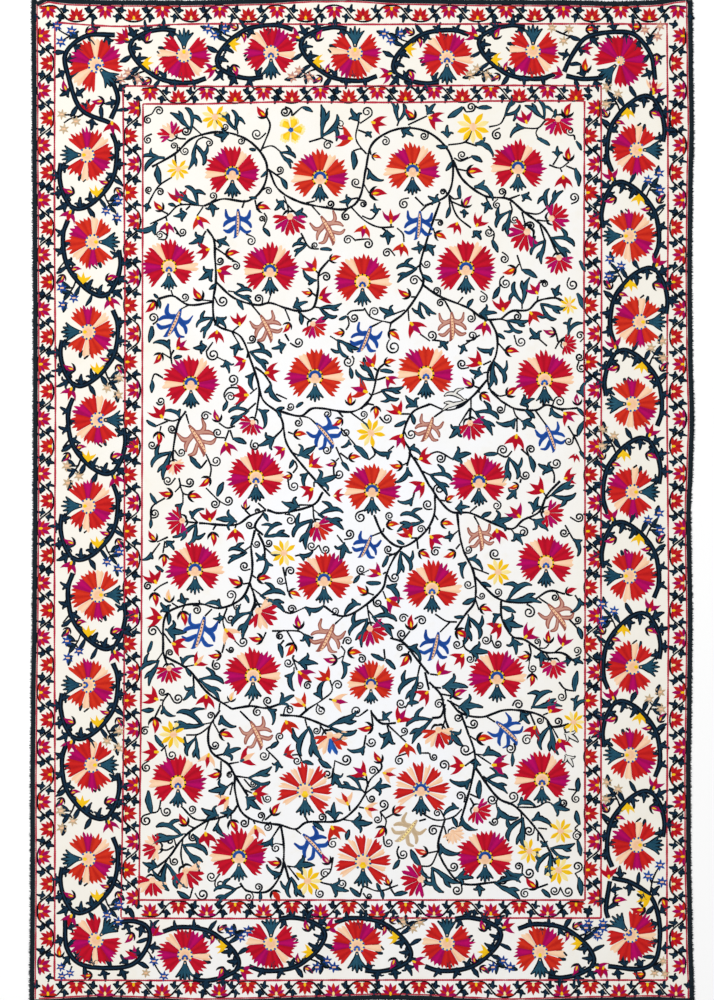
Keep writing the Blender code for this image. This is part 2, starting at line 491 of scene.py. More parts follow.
def smooth_route(points, spacing):
    """Points read at an even spacing from a smooth curve through the given rows."""
    points = np.asarray(points, float)
    padded = np.vstack([2 * points[0] - points[1], points, 2 * points[-1] - points[-2]])
    steps = np.linspace(0, 1, 9)[:-1, None]
    pieces = []
    for a, b, c, d in zip(padded, padded[1:], padded[2:], padded[3:]):
        bend = 2 * b + (c - a) * steps + (2 * a - 5 * b + 4 * c - d) * steps ** 2
        pieces.append((bend + (3 * b - a - 3 * c + d) * steps ** 3) / 2)
    dense = np.vstack(pieces + [points[-1:]])
    length = np.concatenate([[0], np.cumsum(np.hypot(*np.diff(dense[:, :2], axis=0).T))])
    count = max(int(round(length[-1] / spacing)), 2)
    stops = np.linspace(0, length[-1], count + 1)
    return np.column_stack([np.interp(stops, length, column) for column in dense.T])


def sideways(route):
    """The unit direction to the side of a route at each of its points."""
    ahead = np.gradient(route[:, :2], axis=0)
    ahead /= np.maximum(np.hypot(ahead[:, 0], ahead[:, 1]), 1e-9)[:, None]
    return np.column_stack([ahead[:, 1], -ahead[:, 0]])


DOME_3 = (np.array([-1.0, 0.0, 1.0]), np.array([0.0, 1.0, 0.0]))
DOME_5 = (np.array([-1.0, -0.62, 0.0, 0.62, 1.0]), np.array([0.0, 0.86, 1.0, 0.86, 0.0]))


def sweep(target, route, half_widths, crown, root=ROOT_DEPTH, dome=DOME_5):
    """Sweep a dome along a route. crown and root are heights in mm of its ridge and its edges."""
    across, rise = dome
    side = sideways(route)
    half_widths = np.maximum(half_widths, 0.05)
    places = route[:, None, :2] + side[:, None, :] * (half_widths[:, None] * across)[:, :, None]
    crown = np.broadcast_to(crown, len(route))
    heights = root + (crown[:, None] - root) * rise
    length = np.concatenate([[0], np.cumsum(np.hypot(*np.diff(route[:, :2], axis=0).T))])
    rows = np.stack(
        [np.broadcast_to(length[:, None], heights.shape), half_widths[:, None] * across], axis=-1
    )
    target.add_grid(places, heights, rows)


# %% [markdown]
# ## Lines of chain stitch
# A stem or an outline is a line of chain stitch: a row of loops, each drawn through the last. Seen
# close it looks like a plait, swelling and pinching at every link. Two points for each link, one
# wide and high, one narrow and low, are enough to show that.

# %% Lay a line of chain stitch
LINK_UNITS = 2.2
LINE_CROWN = 0.65
# Shares of the width and of the height where a link swells and where it pinches
WIDE_LINK, NARROW_LINK = 1.06, 0.9
LOW_LINK = 0.72
CURL_TURNS = 1.45
CURL_STEPS = 15
CURL_CLOSING = 0.78


def chain_line(target, points, width, crown=LINE_CROWN, dome=DOME_3):
    """A line of chain stitch of an even width, in drafting units, through a few points."""
    route = smooth_route(points, LINK_UNITS / 2)
    beat = np.arange(len(route)) % 2
    half = width / 2 * np.where(beat, WIDE_LINK, NARROW_LINK)
    sweep(target, route, half, crown * np.where(beat, 1.0, LOW_LINK), dome=dome)


def spiral_points(row):
    """A tendril: from its root, straight to the edge of its curl, then round inward."""
    radius = abs(row.radius)
    hand = math.copysign(1, row.radius)
    dx, dy = row.u - row.curl_u, row.v - row.curl_v
    distance = max(math.hypot(dx, dy), radius * 1.02)
    start = math.atan2(dy, dx) - hand * math.acos(radius / distance)
    points = [(row.u, row.v)]
    for step in range(CURL_STEPS + 1):
        share = step / CURL_STEPS
        angle = start - hand * share * CURL_TURNS * 2 * math.pi
        reach = radius * (1 - CURL_CLOSING * share)
        points.append((row.curl_u + reach * math.cos(angle), row.curl_v + reach * math.sin(angle)))
    return points


# %% [markdown]
# ## Leaves
# The leaves are filled in dark teal and outlined in navy. Each kind is a few tapered strokes that
# share a root. The navy is laid first and a little wider, and the teal on top of it, so where two
# strokes meet only their common outline stays dark, as it does in the stitching.

# %% The kinds of leaf
# Each stroke is a row of points: forward and sideways places and half width, as shares of length
LEAF_KINDS = {
    "lens": [[(0, 0, 0.03), (0.28, 0.03, 0.13), (0.58, 0.04, 0.16), (0.85, 0.01, 0.07), (1, 0, 0)]],
    "ivy": [
        [(0, 0, 0.03), (0.22, 0.02, 0.08), (0.48, 0, 0.15), (0.78, -0.05, 0.08), (1, -0.14, 0)],
        [(0.16, 0.02, 0.07), (0.36, 0.15, 0.1), (0.52, 0.3, 0.06), (0.52, 0.48, 0)],
        [(0.16, -0.02, 0.07), (0.3, -0.16, 0.09), (0.36, -0.32, 0.05), (0.24, -0.48, 0)],
    ],
    "horn": [
        [(0, 0, 0.03), (0.25, 0.06, 0.1), (0.5, 0.03, 0.14), (0.76, -0.12, 0.1),
         (0.95, -0.34, 0.04), (1, -0.5, 0)],
        [(0.2, 0.05, 0.08), (0.36, 0.22, 0.1), (0.44, 0.42, 0)],
    ],
    "split": [
        [(0, 0, 0.02), (0.25, 0.12, 0.05), (0.5, 0.2, 0.09), (0.76, 0.3, 0.08), (1, 0.5, 0)],
        [(0.5, 0.2, 0.07), (0.72, 0.14, 0.07), (0.93, 0.16, 0)],
        [(0.05, 0.02, 0.02), (0.3, -0.14, 0.06), (0.55, -0.24, 0.08), (0.78, -0.22, 0.06), (0.93, -0.12, 0)],
        [(0.5, -0.24, 0.07), (0.36, -0.4, 0.06), (0.1, -0.48, 0)],
    ],
    "fork": [
        [(0, 0, 0.03), (0.3, 0.06, 0.08), (0.6, 0.0, 0.1), (0.85, -0.18, 0.08), (1, -0.45, 0)],
        [(0.25, 0.05, 0.06), (0.55, 0.22, 0.08), (0.85, 0.28, 0.06), (1, 0.2, 0)],
        [(0.55, 0.2, 0.06), (0.6, 0.4, 0.06), (0.52, 0.56, 0)],
    ],
    "bell": [
        [(0, 0, 0.03), (0.36, 0.09, 0.06), (0.66, 0.24, 0.09), (0.92, 0.52, 0)],
        [(0, 0, 0.03), (0.36, -0.09, 0.06), (0.66, -0.24, 0.09), (0.92, -0.52, 0)],
        [(0, 0, 0.03), (0.45, 0.07, 0.07), (0.76, 0.17, 0.09), (1.08, 0.26, 0)],
        [(0, 0, 0.03), (0.45, -0.07, 0.07), (0.76, -0.17, 0.09), (1.08, -0.26, 0)],
        [(0, 0, 0.05), (0.5, 0, 0.1), (0.82, 0, 0.1), (1.18, 0, 0)],
    ],
}
LEAF_STEP = 1.5
PETAL_STEP = 1.6
OUTLINE = 1.0
FILL_SHARE = 0.64
UNDER_CROWN = 0.5
LEAF_CROWN = 0.85


def from_root(row, points):
    """Points given forward and sideways of a motif, as shares of its length, on the drafting sheet."""
    points = np.asarray(points, float)
    aim = math.radians(row.aim)
    turn = getattr(row, "turn", 1)
    ahead = np.array([math.cos(aim), -math.sin(aim)])
    left = np.array([-math.sin(aim), -math.cos(aim)]) * turn
    placed = points.copy()
    placed[:, :2] = (row.u, row.v) + row.size * (points[:, :1] * ahead + points[:, 1:2] * left)
    if points.shape[1] > 2:
        placed[:, 2] = points[:, 2] * row.size
    return placed


def outlined_stroke(area, points, fill="teal", line="navy"):
    """A filled stroke over a slightly wider dark one."""
    route = smooth_route(points, LEAF_STEP)
    sweep(work(area, line), route, route[:, 2] + OUTLINE, UNDER_CROWN, dome=DOME_3)
    inner = route[:-1] if len(route) > 4 else route
    sweep(work(area, fill), inner, inner[:, 2] * FILL_SHARE, LEAF_CROWN, root=UNDER_CROWN * 0.55)


def add_leaf(area, row, fill="teal"):
    """A leaf of a kind, from its root, with its aim in degrees and its length."""
    for stroke in LEAF_KINDS[row.kind]:
        outlined_stroke(area, from_root(row, stroke), fill)


def petal(area, dye, points, crown=0.75, root=ROOT_DEPTH):
    """A plain filled stroke with no outline."""
    route = smooth_route(points, PETAL_STEP)
    sweep(work(area, dye), route, route[:, 2], crown, root=root)


# %% [markdown]
# ## Tulips, buds and small flowers
# Tulips have three pointed petals over a yellow heel, buds are a red drop with a yellow slash
# between two dark sepals, and the sprigs end in small star flowers. They are made from
# the same strokes, with the parts that lie on top laid a little higher.

# %% Small flowers
TULIP_PETALS = {
    "middle": [(0.15, 0, 0.12), (0.45, 0, 0.2), (0.72, 0.03, 0.13), (1.08, 0.05, 0)],
    "left": [(0.15, 0.04, 0.12), (0.4, 0.22, 0.19), (0.6, 0.44, 0.12), (0.95, 0.62, 0)],
    "right": [(0.15, -0.04, 0.12), (0.4, -0.22, 0.19), (0.56, -0.46, 0.12), (0.8, -0.68, 0)],
}
HEEL = [(0, 0, 0.05), (0.14, 0, 0.12), (0.3, 0, 0.1)]
BUD_DROP = [(0.1, 0, 0.1), (0.4, 0.05, 0.24), (0.68, 0.04, 0.19), (1.08, -0.1, 0)]
BUD_SLASH = [(0.18, 0, 0.06), (0.36, 0.02, 0.1), (0.6, 0.02, 0)]
STAR_PETAL = [(0.1, 0, 0.12), (0.5, 0, 0.24), (1, 0.05, 0)]
STAR_HEART = [(0, 0, 0.3), (1, 0, 0.3)]
STAR_PETALS = 6
DAISY_PETAL = [(0.22, 0, 0.06), (0.6, 0, 0.17), (0.82, 0, 0.14), (1.05, 0, 0)]
DAISY_HEART = [(-0.7, 0, 0.4), (0, 0, 0.7), (0.7, 0, 0.4)]
DAISY_PETALS = 9
TOP_ROOT = 0.35
TOP_CROWN = 0.95
SHORT_DYES = {
    "r": "crimson", "c": "scarlet", "o": "orange", "m": "magenta", "y": "yellow", "b": "blue",
    "p": "peach", "n": "brown", "t": "tan", "s": "straw", "e": "teal", "i": "ivory",
}


def add_tulip(area, row):
    """Three petals and a heel. dyes names the middle petal's dye, the others' and the heel's."""
    middle, sides, heel = (SHORT_DYES[letter] for letter in row.dyes)
    petal(area, sides, from_root(row, TULIP_PETALS["left"]))
    petal(area, sides, from_root(row, TULIP_PETALS["right"]))
    petal(area, middle, from_root(row, TULIP_PETALS["middle"]), crown=0.85)
    petal(area, heel, from_root(row, HEEL), TOP_CROWN, TOP_ROOT)


def add_bud(area, row):
    """A drop with a slash of another dye, between two dark sepals. dyes names both dyes."""
    drop, slash = (SHORT_DYES[letter] for letter in row.dyes)
    for side in (1, -1):
        sepal = [(-0.02, 0, 0.08), (0.12, 0.2 * side, 0.12), (0.3, 0.38 * side, 0.08), (0.5, 0.44 * side, 0)]
        petal(area, "navy", from_root(row, sepal))
    petal(area, drop, from_root(row, BUD_DROP))
    petal(area, slash, from_root(row, BUD_SLASH), TOP_CROWN, TOP_ROOT)


def add_star(area, u, v, size, dye, heart="peach"):
    """A small flower of six pointed petals round a heart."""
    for number in range(STAR_PETALS):
        aim = 20 + number * 360 / STAR_PETALS
        petal(area, dye, from_root(Place(u, v, aim, size), STAR_PETAL))
    middle = Place(u - size * 0.3, v, 0, size * 0.6)
    petal(area, heart, from_root(middle, STAR_HEART), TOP_CROWN, TOP_ROOT)


def add_daisy(area, row):
    """A yellow flower of nine petals in two shades, left open where its stem comes in."""
    for number in range(DAISY_PETALS):
        aim = row.aim + 180 + 360 * (number + 1) / (DAISY_PETALS + 1)
        dye = "straw" if number % 3 == 1 else "yellow"
        petal(area, dye, from_root(Place(row.u, row.v, aim, row.size), DAISY_PETAL))
    heart = Place(row.u, row.v, row.aim, row.size * 0.36)
    petal(area, "peach", from_root(heart, DAISY_HEART), 0.8, 0.1)


# %% [markdown]
# ## Rosettes
# The big flowers are carnations seen half open: a fan of saw-edged lobes in red, magenta and
# peach round a dotted heart, with a dark bell-shaped calyx filling the gap in the fan. Each lobe is a
# grid in rings and rays. Its outer ring steps in and out to make the teeth, and its rays stand a
# little up and down like threads.

# %% Lobes with saw edges
RAYS_PER_TOOTH = 4
tooth_dice = random.Random(7)
RINGS = np.array([0.0, 0.05, 0.3, 0.6, 0.9, 1.0])
TOOTH_ANGLE = 9.5
EDGE_SHARE = 0.4
UNEVEN = (-0.09, 0.05)
RAY_LIFT = 0.04
RAY_LEAN = 2.0


def saw_lobe(
    target, centre, start, end, inner, outer, depth, crown=0.8, root=ROOT_DEPTH, teeth=None, round_off=0.0
):
    """A lobe between two angles in degrees, from an inner radius to a saw edge at an outer one."""
    teeth = teeth or max(2, int(round(abs(end - start) / TOOTH_ANGLE)))
    rays = np.linspace(0, 1, teeth * RAYS_PER_TOOTH + 1)
    phase = (rays * teeth) % 1
    point = 1 - np.abs(2 * phase - 1)
    uneven = [1 + tooth_dice.uniform(*UNEVEN) for _ in range(teeth + 1)]
    tip = outer * np.array([uneven[int(ray * teeth)] for ray in rays])
    rounding = 1 - round_off * np.abs(2 * rays - 1) ** 2
    reach = np.where(point > 0, tip * rounding, outer * rounding) - depth * (1 - point ** 0.8)
    spread = rays.copy()
    spread[1] *= EDGE_SHARE
    spread[-2] = 1 - (1 - spread[-2]) * EDGE_SHARE
    angle = np.radians(start + (end - start) * spread)
    radius = inner + (reach - inner) * RINGS[:, None]
    lean = np.radians(RAY_LEAN) * (RINGS[:, None] ** 3) * point
    turned = angle + lean
    places = np.stack([centre[0] + radius * np.cos(turned), centre[1] - radius * np.sin(turned)], axis=-1)
    heights = np.full(radius.shape, crown)
    heights += np.where(np.arange(len(rays)) % 2, RAY_LIFT, -RAY_LIFT)
    heights[[0, -1]] = root
    heights[:, [0, -1]] = root
    middle = (inner + outer) / 2
    rows = np.stack([radius, np.broadcast_to(np.radians(end - start) * rays * middle, radius.shape)], axis=-1)
    target.add_grid(places, heights, rows)


def ring(target, centre, radius, half_width, crown, root, start=0, end=360):
    """A flat ring or arc of chain stitch."""
    angles = np.radians(np.linspace(start, end, max(int((end - start) / 18), 4) + 1))
    route = np.column_stack([centre[0] + radius * np.cos(angles), centre[1] - radius * np.sin(angles)])
    sweep(target, route, np.full(len(route), half_width), crown, root=root, dome=DOME_3)


def dot(area, dye, u, v, radius, crown=1.2, root=0.6):
    """A single knot or filled dot."""
    target = work(area, dye)
    angles = np.radians(np.arange(0, 361, 60))
    rim = np.array([0.0, 0.75, 1.0])
    places = np.stack(
        [u + radius * rim[:, None] * np.cos(angles), v - radius * rim[:, None] * np.sin(angles)], axis=-1
    )
    heights = np.broadcast_to(np.array([crown, crown * 0.9, root])[:, None], places.shape[:2]).copy()
    places[0] += 0.04 * radius * (places[1] - places[0])
    target.add_grid(places, heights, places)


# %% The fans of lobes
# Lobes by their angles from the calyx, counterclockwise, with dye and share of the full radius
Lobe = namedtuple("Lobe", "start end dye reach")
FANS = {
    "field": [
        Lobe(40, 73, "main", 0.93), Lobe(74, 101, "magenta", 1.0), Lobe(102, 138, "main", 1.0),
        Lobe(141, 158, "peach", 0.94), Lobe(160, 198, "main", 0.98), Lobe(199, 226, "magenta", 0.97),
        Lobe(227, 261, "main", 1.0), Lobe(262, 279, "peach", 1.0), Lobe(281, 320, "main", 0.93),
    ],
    "border": [
        Lobe(32, 71, "main", 0.93), Lobe(76, 93, "peach", 0.96), Lobe(96, 133, "main", 1.0),
        Lobe(134, 163, "magenta", 1.0), Lobe(164, 208, "main", 1.0), Lobe(212, 229, "peach", 0.95),
        Lobe(232, 258, "main", 0.98), Lobe(259, 281, "magenta", 1.0), Lobe(282, 320, "main", 0.95),
    ],
    "corner": [
        Lobe(30, 60, "main", 0.96), Lobe(61, 90, "magenta", 1.0), Lobe(91, 128, "main", 1.0),
        Lobe(129, 150, "magenta", 1.0), Lobe(151, 190, "main", 1.0), Lobe(191, 215, "magenta", 1.0),
        Lobe(216, 252, "main", 1.0), Lobe(253, 285, "magenta", 1.0), Lobe(286, 325, "main", 0.96),
    ],
    "twin": [
        Lobe(37, 68, "main", 0.98), Lobe(69, 95, "magenta", 1.0), Lobe(96, 140, "main", 1.0),
        Lobe(142, 158, "peach", 0.94), Lobe(160, 200, "main", 1.0), Lobe(202, 218, "peach", 0.94),
        Lobe(220, 264, "main", 1.0), Lobe(265, 291, "magenta", 1.0), Lobe(292, 323, "main", 0.98),
    ],
    "corner_left": [
        Lobe(28, 62, "main", 0.96), Lobe(63, 93, "magenta", 1.0), Lobe(94, 124, "main", 1.0),
        Lobe(126, 147, "peach", 0.97), Lobe(149, 183, "main", 1.0), Lobe(184, 216, "magenta", 1.0),
        Lobe(217, 247, "main", 1.0), Lobe(249, 276, "peach", 1.0), Lobe(278, 311, "main", 0.96),
    ],
    "striped": [
        Lobe(42 + 23 * number, 53 + 23 * number, "peach", 0.92) if number % 2
        else Lobe(36 + 23 * number, 59 + 23 * number, "main", 1.0)
        for number in range(12)
    ],
}


def add_bell(area, row, apex, length):
    """The calyx: five dark petals that spread from an apex near the heart."""
    aim = math.radians(row.aim)
    start = (row.u + apex * math.cos(aim), row.v - apex * math.sin(aim))
    add_leaf(area, Spot("bell", *start, row.aim, length, 1))
    tip = (start[0] + 2.6 * math.cos(aim), start[1] - 2.6 * math.sin(aim))
    dot(area, "peach", *tip, 1.0, crown=1.0, root=0.4)


SEED_SIZES = {"sun": 3.0, "seed": 1.9}
HEART_SCALE = 1.2
DOT_RING = 6.1
HEART_DOTS = 9


def add_heart(area, row, centre, scale, kind, dots):
    """The dotted middle of a rosette. kind says what fills it: an arc, a flower, a sun or a seed."""
    scale = scale * HEART_SCALE
    ring(work(area, "peach"), centre, 2.5 * scale, 2.7 * scale, 0.9, 0.3)
    band = "straw" if dots == "blue" else "yellow"
    ring(work(area, band), centre, DOT_RING * scale, 1.2 * scale, 0.95, 0.2, row.aim + 35, row.aim + 325)
    for number in range(HEART_DOTS):
        angle = math.radians(row.aim + 45 + number * 270 / (HEART_DOTS - 1))
        u = centre[0] + DOT_RING * scale * math.cos(angle)
        v = centre[1] - DOT_RING * scale * math.sin(angle)
        dot(area, dots, u, v, (1.1 if dots == "blue" else 0.9) * scale)
    if kind == "arc":
        ring(work(area, "blue"), centre, 3.7 * scale, 1.6 * scale, 1.1, 0.6, row.aim + 80, row.aim + 280)
    aim = math.radians(row.aim)
    low = (centre[0] + 2.6 * scale * math.cos(aim), centre[1] - 2.6 * scale * math.sin(aim))
    if kind == "flower":
        for turn in (-100, -50, 0, 50, 100):
            angle = math.radians(row.aim + 180 + turn)
            dot(area, "blue", low[0] + 1.9 * scale * math.cos(angle), low[1] - 1.9 * scale * math.sin(angle),
                1.3 * scale, 1.15)
        dot(area, "yellow", *low, 0.9 * scale, 1.25)
    if kind in SEED_SIZES:
        dot(area, "yellow", *low, SEED_SIZES[kind] * scale, 1.15)


CORNER_HEART = 0.6
DRAWN_RADIUS = 28
LOBE_ROOT = 6.6
CORNER_LOBE_ROOT = 4
TOOTH_DEPTH = 5.4
PEACH_TOOTH_DEPTH = 3.6
LOBE_OVERLAP = 1.2
CALYX_START = 5.6
BELL_LENGTH = 19
BELL_LENGTHS = {"field": 15.5, "twin": 15.5, "striped": 17}


def add_rosette(area, row):
    """A whole rosette from a row of its table: place, aim of the calyx, radius, fan, dyes and heart."""
    centre = (row.u, row.v)
    scale = row.size / DRAWN_RADIUS
    lobe_root = (CORNER_LOBE_ROOT if row.fan == "corner" else LOBE_ROOT) * scale
    main = SHORT_DYES[row.dye]
    for lobe in FANS[row.fan]:
        dye = main if lobe.dye == "main" else lobe.dye
        start, end = lobe.start, lobe.end
        if row.turn < 0:
            start, end = 360 - lobe.end, 360 - lobe.start
        depth = (TOOTH_DEPTH if dye != "peach" else PEACH_TOOTH_DEPTH) * scale
        saw_lobe(
            work(area, dye), centre, row.aim + start - LOBE_OVERLAP, row.aim + end + LOBE_OVERLAP,
            lobe_root, row.size * lobe.reach * 1.04, depth, 0.8 if dye == main else 0.7, round_off=0.06,
        )
    add_bell(area, row, CALYX_START * scale, BELL_LENGTHS.get(row.fan, BELL_LENGTH) * scale)
    heart_scale = scale * (CORNER_HEART if row.fan == "corner" else 1)
    add_heart(area, row, centre, heart_scale, row.heart, "navy" if row.fan in ("field", "twin") else "blue")


HALF_LOBES = 5
HALF_SPREAD = 200
PANSY_PETALS = 5


def add_half_rosette(area, row):
    """A small fan of saw lobes on its dark calyx. dyes names three dyes used in turn."""
    dyes = [SHORT_DYES[letter] for letter in row.dyes]
    aim = math.radians(row.aim)
    back = 0.4 * row.size
    centre = (row.u - back * math.cos(aim), row.v + back * math.sin(aim))
    for number in range(HALF_LOBES):
        start = row.aim - HALF_SPREAD / 2 + number * HALF_SPREAD / HALF_LOBES
        saw_lobe(
            work(area, dyes[number % len(dyes)]), centre, start, start + HALF_SPREAD / HALF_LOBES - 1.5,
            row.size * 0.12, row.size * (1.0 if number % 4 else 0.9) * 1.08, row.size * 0.36, 0.75, teeth=2,
        )
    dot(area, "peach", *centre, row.size * 0.22, 1.0, 0.3)
    root = Spot("sepal", *centre, row.aim + 180, row.size * 0.62, 1)
    for side in (1, -1):
        points = [(0.45, 0, 0.1), (0.5, 0.3 * side, 0.13), (0.2, 0.6 * side, 0.07), (-0.1, 0.72 * side, 0)]
        petal(area, "navy", from_root(root, points))


def add_pansy(area, row):
    """A yellow flower of five broad, shallow-toothed petals with a straw edge and a blue eye."""
    centre = (row.u, row.v)
    for number in range(PANSY_PETALS):
        start = row.aim + 24 + number * 65
        saw_lobe(
            work(area, "straw"), centre, start, start + 58, 1.5, row.size, 1.2, 0.6, teeth=5, round_off=0.22
        )
        saw_lobe(
            work(area, "yellow"), centre, start + 5, start + 53, 1.5, row.size * 0.86, 1.0, 0.85,
            teeth=4, round_off=0.22,
        )
    dot(area, "blue", *centre, row.size * 0.2)


# %% [markdown]
# ## Peppers
# Among the flowers lie blue and rose-brown forms with curling arms on either side of a dotted
# spine. Makers call them peppers, and they guard against harm. The body is a
# stroke with a pale spine and dark dots, and the arms are curved, pointed strokes.

# %% A pepper
PEPPER_TRUNK = [(0.0, 0, 0.04), (0.3, 0.02, 0.1), (0.7, 0.01, 0.11), (0.98, -0.06, 0.06), (1.05, -0.14, 0)]
PEPPER_SPINE = [(0.1, 0.0, 0.035), (0.5, 0.02, 0.055), (0.95, 0.01, 0.035)]
PEPPER_DOTS = 8
PEPPER_ARMS = [
    [(0.28, 0.05, 0.04), (0.36, 0.22, 0.055), (0.28, 0.38, 0.05), (0.02, 0.44, 0)],
    [(0.36, 0.08, 0.04), (0.42, 0.28, 0.055), (0.52, 0.42, 0.045), (0.66, 0.5, 0)],
    [(0.6, 0.06, 0.04), (0.76, 0.22, 0.05), (0.82, 0.34, 0.045), (0.76, 0.5, 0)],
]


def add_pepper(area, row):
    """A pepper from its root: a dotted body and three pairs of curling arms. dyes: body and spine."""
    body, spine = (SHORT_DYES[letter] for letter in row.dyes)
    edge = "rust" if body == "brown" else body
    for arm in PEPPER_ARMS:
        for side in (1, -1):
            outlined_stroke(area, from_root(row, [(f, s * side, w) for f, s, w in arm]), body, edge)
    petal(area, edge, from_root(row, PEPPER_TRUNK))
    petal(area, spine, from_root(row, PEPPER_SPINE), 0.95, 0.4)
    dot_dye = "navy" if body == "blue" else "rust"
    for number in range(PEPPER_DOTS):
        place = from_root(row, [(0.14 + number * 0.105, 0.01)])[0]
        dot(area, dot_dye, *place, row.size * 0.028, 1.15, 0.7)


print("motif kinds:", len(LEAF_KINDS), "leaves and", len(FANS), "fans")

# %% [markdown]
# ## Setting out the field
# The layout was read off the photograph, one band of the field after another. Each table has a
# line for each motif: its place on the drafting sheet, its aim in degrees counterclockwise from
# rightward, its length or radius, and its dyes by their letters. A last -1 turns a motif over. Vines
# and stems are lines of chain stitch, each given by the places where it turns, with a smooth curve
# through them.

# %% The upper band of the field: vines and stems
VINES = """
204 206 223 199 248 201 264 186 266 162 249 141 222 132 193 138 176 153 152 167
269 170 278 189 297 201 322 207 346 209 360 197 366 168 373 143 398 129 \
425 131 445 146 453 166 448 194 425 206
453 160 463 180 485 196 508 199 524 212 545 229 559 258
207 229 214 240 215 258
440 202 431 227 422 256
"""
STALKS = """
186 139 178 138 170 131
203 136 191 125
204 137 198 140 195 146
225 131 215 120
238 134 235 119
261 151 270 127 266 115 268 108
261 149 272 146 282 153
268 169 282 179
284 196 288 208 288 217
284 201 295 213
204 206 180 205 167 216 150 224
203 207 197 216
183 205 180 203
190 206 186 210
168 214 162 211
166 217 167 221
172 177 158 187 147 206
152 114 145 117
175 153 176 165
245 200 242 208
255 200 257 210
264 213 267 219 263 228
214 239 219 243
206 231 203 236
214 247 226 255
168 228 166 239 158 239
174 227 181 237
285 107 291 110 292 116
292 116 302 107
309 142 322 138
322 138 323 120
322 138 333 143
359 121 356 139 366 154
358 130 366 133
353 151 361 149 367 154
397 126 399 121
408 125 427 116
370 150 371 155
367 168 370 171
363 183 369 193
352 199 358 198
306 203 315 201
312 206 320 215
350 206 364 220 378 227 394 227
362 216 371 219 377 213
391 224 391 226
382 228 386 231
397 228 403 234 404 242
301 233 309 247 319 249
421 211 426 206
415 197 424 206
433 228 435 234
450 198 457 216 471 228
449 195 454 199 460 198
450 201 464 207
449 196 450 208
472 131 465 142 448 145
465 142 477 146
454 158 461 161 471 157
457 169 467 171
463 107 466 112
475 106 478 108
489 127 500 124 505 116
524 128 538 128 547 120 559 126
558 121 566 118
538 128 536 133 538 138
574 135 575 140
549 165 560 168 569 162
560 168 562 172
566 166 576 170
553 165 558 157
509 199 520 195
486 197 488 203
510 202 512 210 510 217
524 212 538 214 548 207
522 212 525 226 522 237
537 220 547 221 557 218
540 225 545 241
488 226 494 233 493 240
"""
TENDRILS = """
152 114 148 120 4
152 114 159 111 -4.5
152 134 148 140 4
192 128 186 131 -4.5
177 151 174 146 3.5
179 147 185 151 4
204 137 209 143 -3.8
221 129 225 127 3.6
237 136 241 141 -4
266 133 257 134 -5.5
262 190 268.5 191 -3.6
276 175 280 170 3.8
291 110 285 112 -4.5
211 202 213 196 4
150 194 149 190 -3.5
155 191 160 192 -3.8
168 236 160 235 3.8
176 233 182.5 232 4
264 222 262 219 3.2
246 234 251 241 -4.6
333 143 328 145 4.8
360 123.5 367 112 5.5
345 129 340.5 124 -4.5
384 136.5 385.5 141.5 -4.3
428 131 424 136 -4
361 188 356 182.5 -4.5
326 206 330.5 204 4
359 200 363 204 -3.5
349 208 346 216.5 4.2
356 241 348 240 4.5
356 240 368 244 -5
395 256 387 253 4.5
318 249 315 245.5 -3.5
409 198 404 204 5
466 112 471 107 4.5
468 157 462 155 -4.5
500 128 497 135 5
447 196 443 192 3
435 220 440 223 -3
503 198 502 192 3.8
498 199 497 205 3.8
574 135 570 131 -4.5
571 204 574 197.5 5
509 217 514.5 219.5 4
525 224 530.5 226 -4
494 234 489 232.5 -4
"""
LEAVES = """
split 192 130 115 25
split 236 130 110 22
split 196 144 -80 24 -1
split 199 205 135 25
fork 165 158 190 22 -1
lens 160 184 98 19
lens 267 171 225 9
lens 281 178 -62 13
lens 256 150 170 7
ivy 229 134 190 15
ivy 284 200 235 14
ivy 211 203 -75 14
ivy 187 213 200 14
ivy 147 203 -90 9
ivy 204 236 215 17
ivy 217 240 -20 14
lens 263 228 -50 11
lens 257 198 175 8
horn 157 222 220 22
split 280 152 -30 18 -1
lens 168 204 -15 8
lens 302 107 -25 12
split 322 138 65 30
ivy 359 121 130 15
ivy 366 132 -40 8
split 399 122 85 20
ivy 427 115 60 14
ivy 401 130 -20 14
lens 353 151 -88 19
horn 369 170 -60 16 -1
ivy 352 199 200 13
ivy 377 214 110 11
ivy 386 230 -75 15
ivy 294 213 -10 14
lens 320 249 -5 12
split 307 244 200 16
ivy 424 246 200 13
ivy 426 244 -50 14
ivy 440 201 165 13
lens 448 147 175 12
ivy 448 138 100 13
lens 463 107 215 19
lens 478 108 0 14
split 505 116 45 20
horn 475 144 -10 20
lens 471 156 -28 13
lens 452 162 235 11
horn 474 187 -10 21
ivy 488 201 -100 13
ivy 521 195 -20 12
split 547 209 75 22 -1
horn 524 128 190 15 -1
split 545 119 120 22
lens 555 118 85 9
lens 537 138 -30 15
lens 576 141 -60 11
ivy 558 157 100 11
lens 575 168 -78 19
split 510 210 -120 24
lens 492 240 -65 14
split 545 240 235 22
split 551 237 -30 27 -1
ivy 473 231 -40 12
lens 460 199 92 14
ivy 464 209 -85 9
lens 450 207 -110 12
"""
TULIPS = """
180 203 105 15 mry
167 222 -90 12 rmy
197 216 -65 14 moy
210 249 195 14 rry
353 139 170 17 moy
371 122 -15 15 rry
428 117 -20 15 mry
365 225 -105 13 moy
391 224 90 14 omy
402.5 243 -100 13 roy
527 124 110 14 rmy
563 175 -85 14 rry
476 227 60 13 rry
457.5 222 -110 12 rry
"""
BUDS = """
163 210 140 12 ry
266 117 135 13 ry
257 207 -5 13 ry
226 255 15 13 ry
415 118 140 13 ry
372 156 -10 9 oy
370 194 5 16 ry
467 172 5 15 ry
464 207 60 13 my
566 117 75 14 ry
569 161 95 13 ry
435 234 -20 12 oy
"""

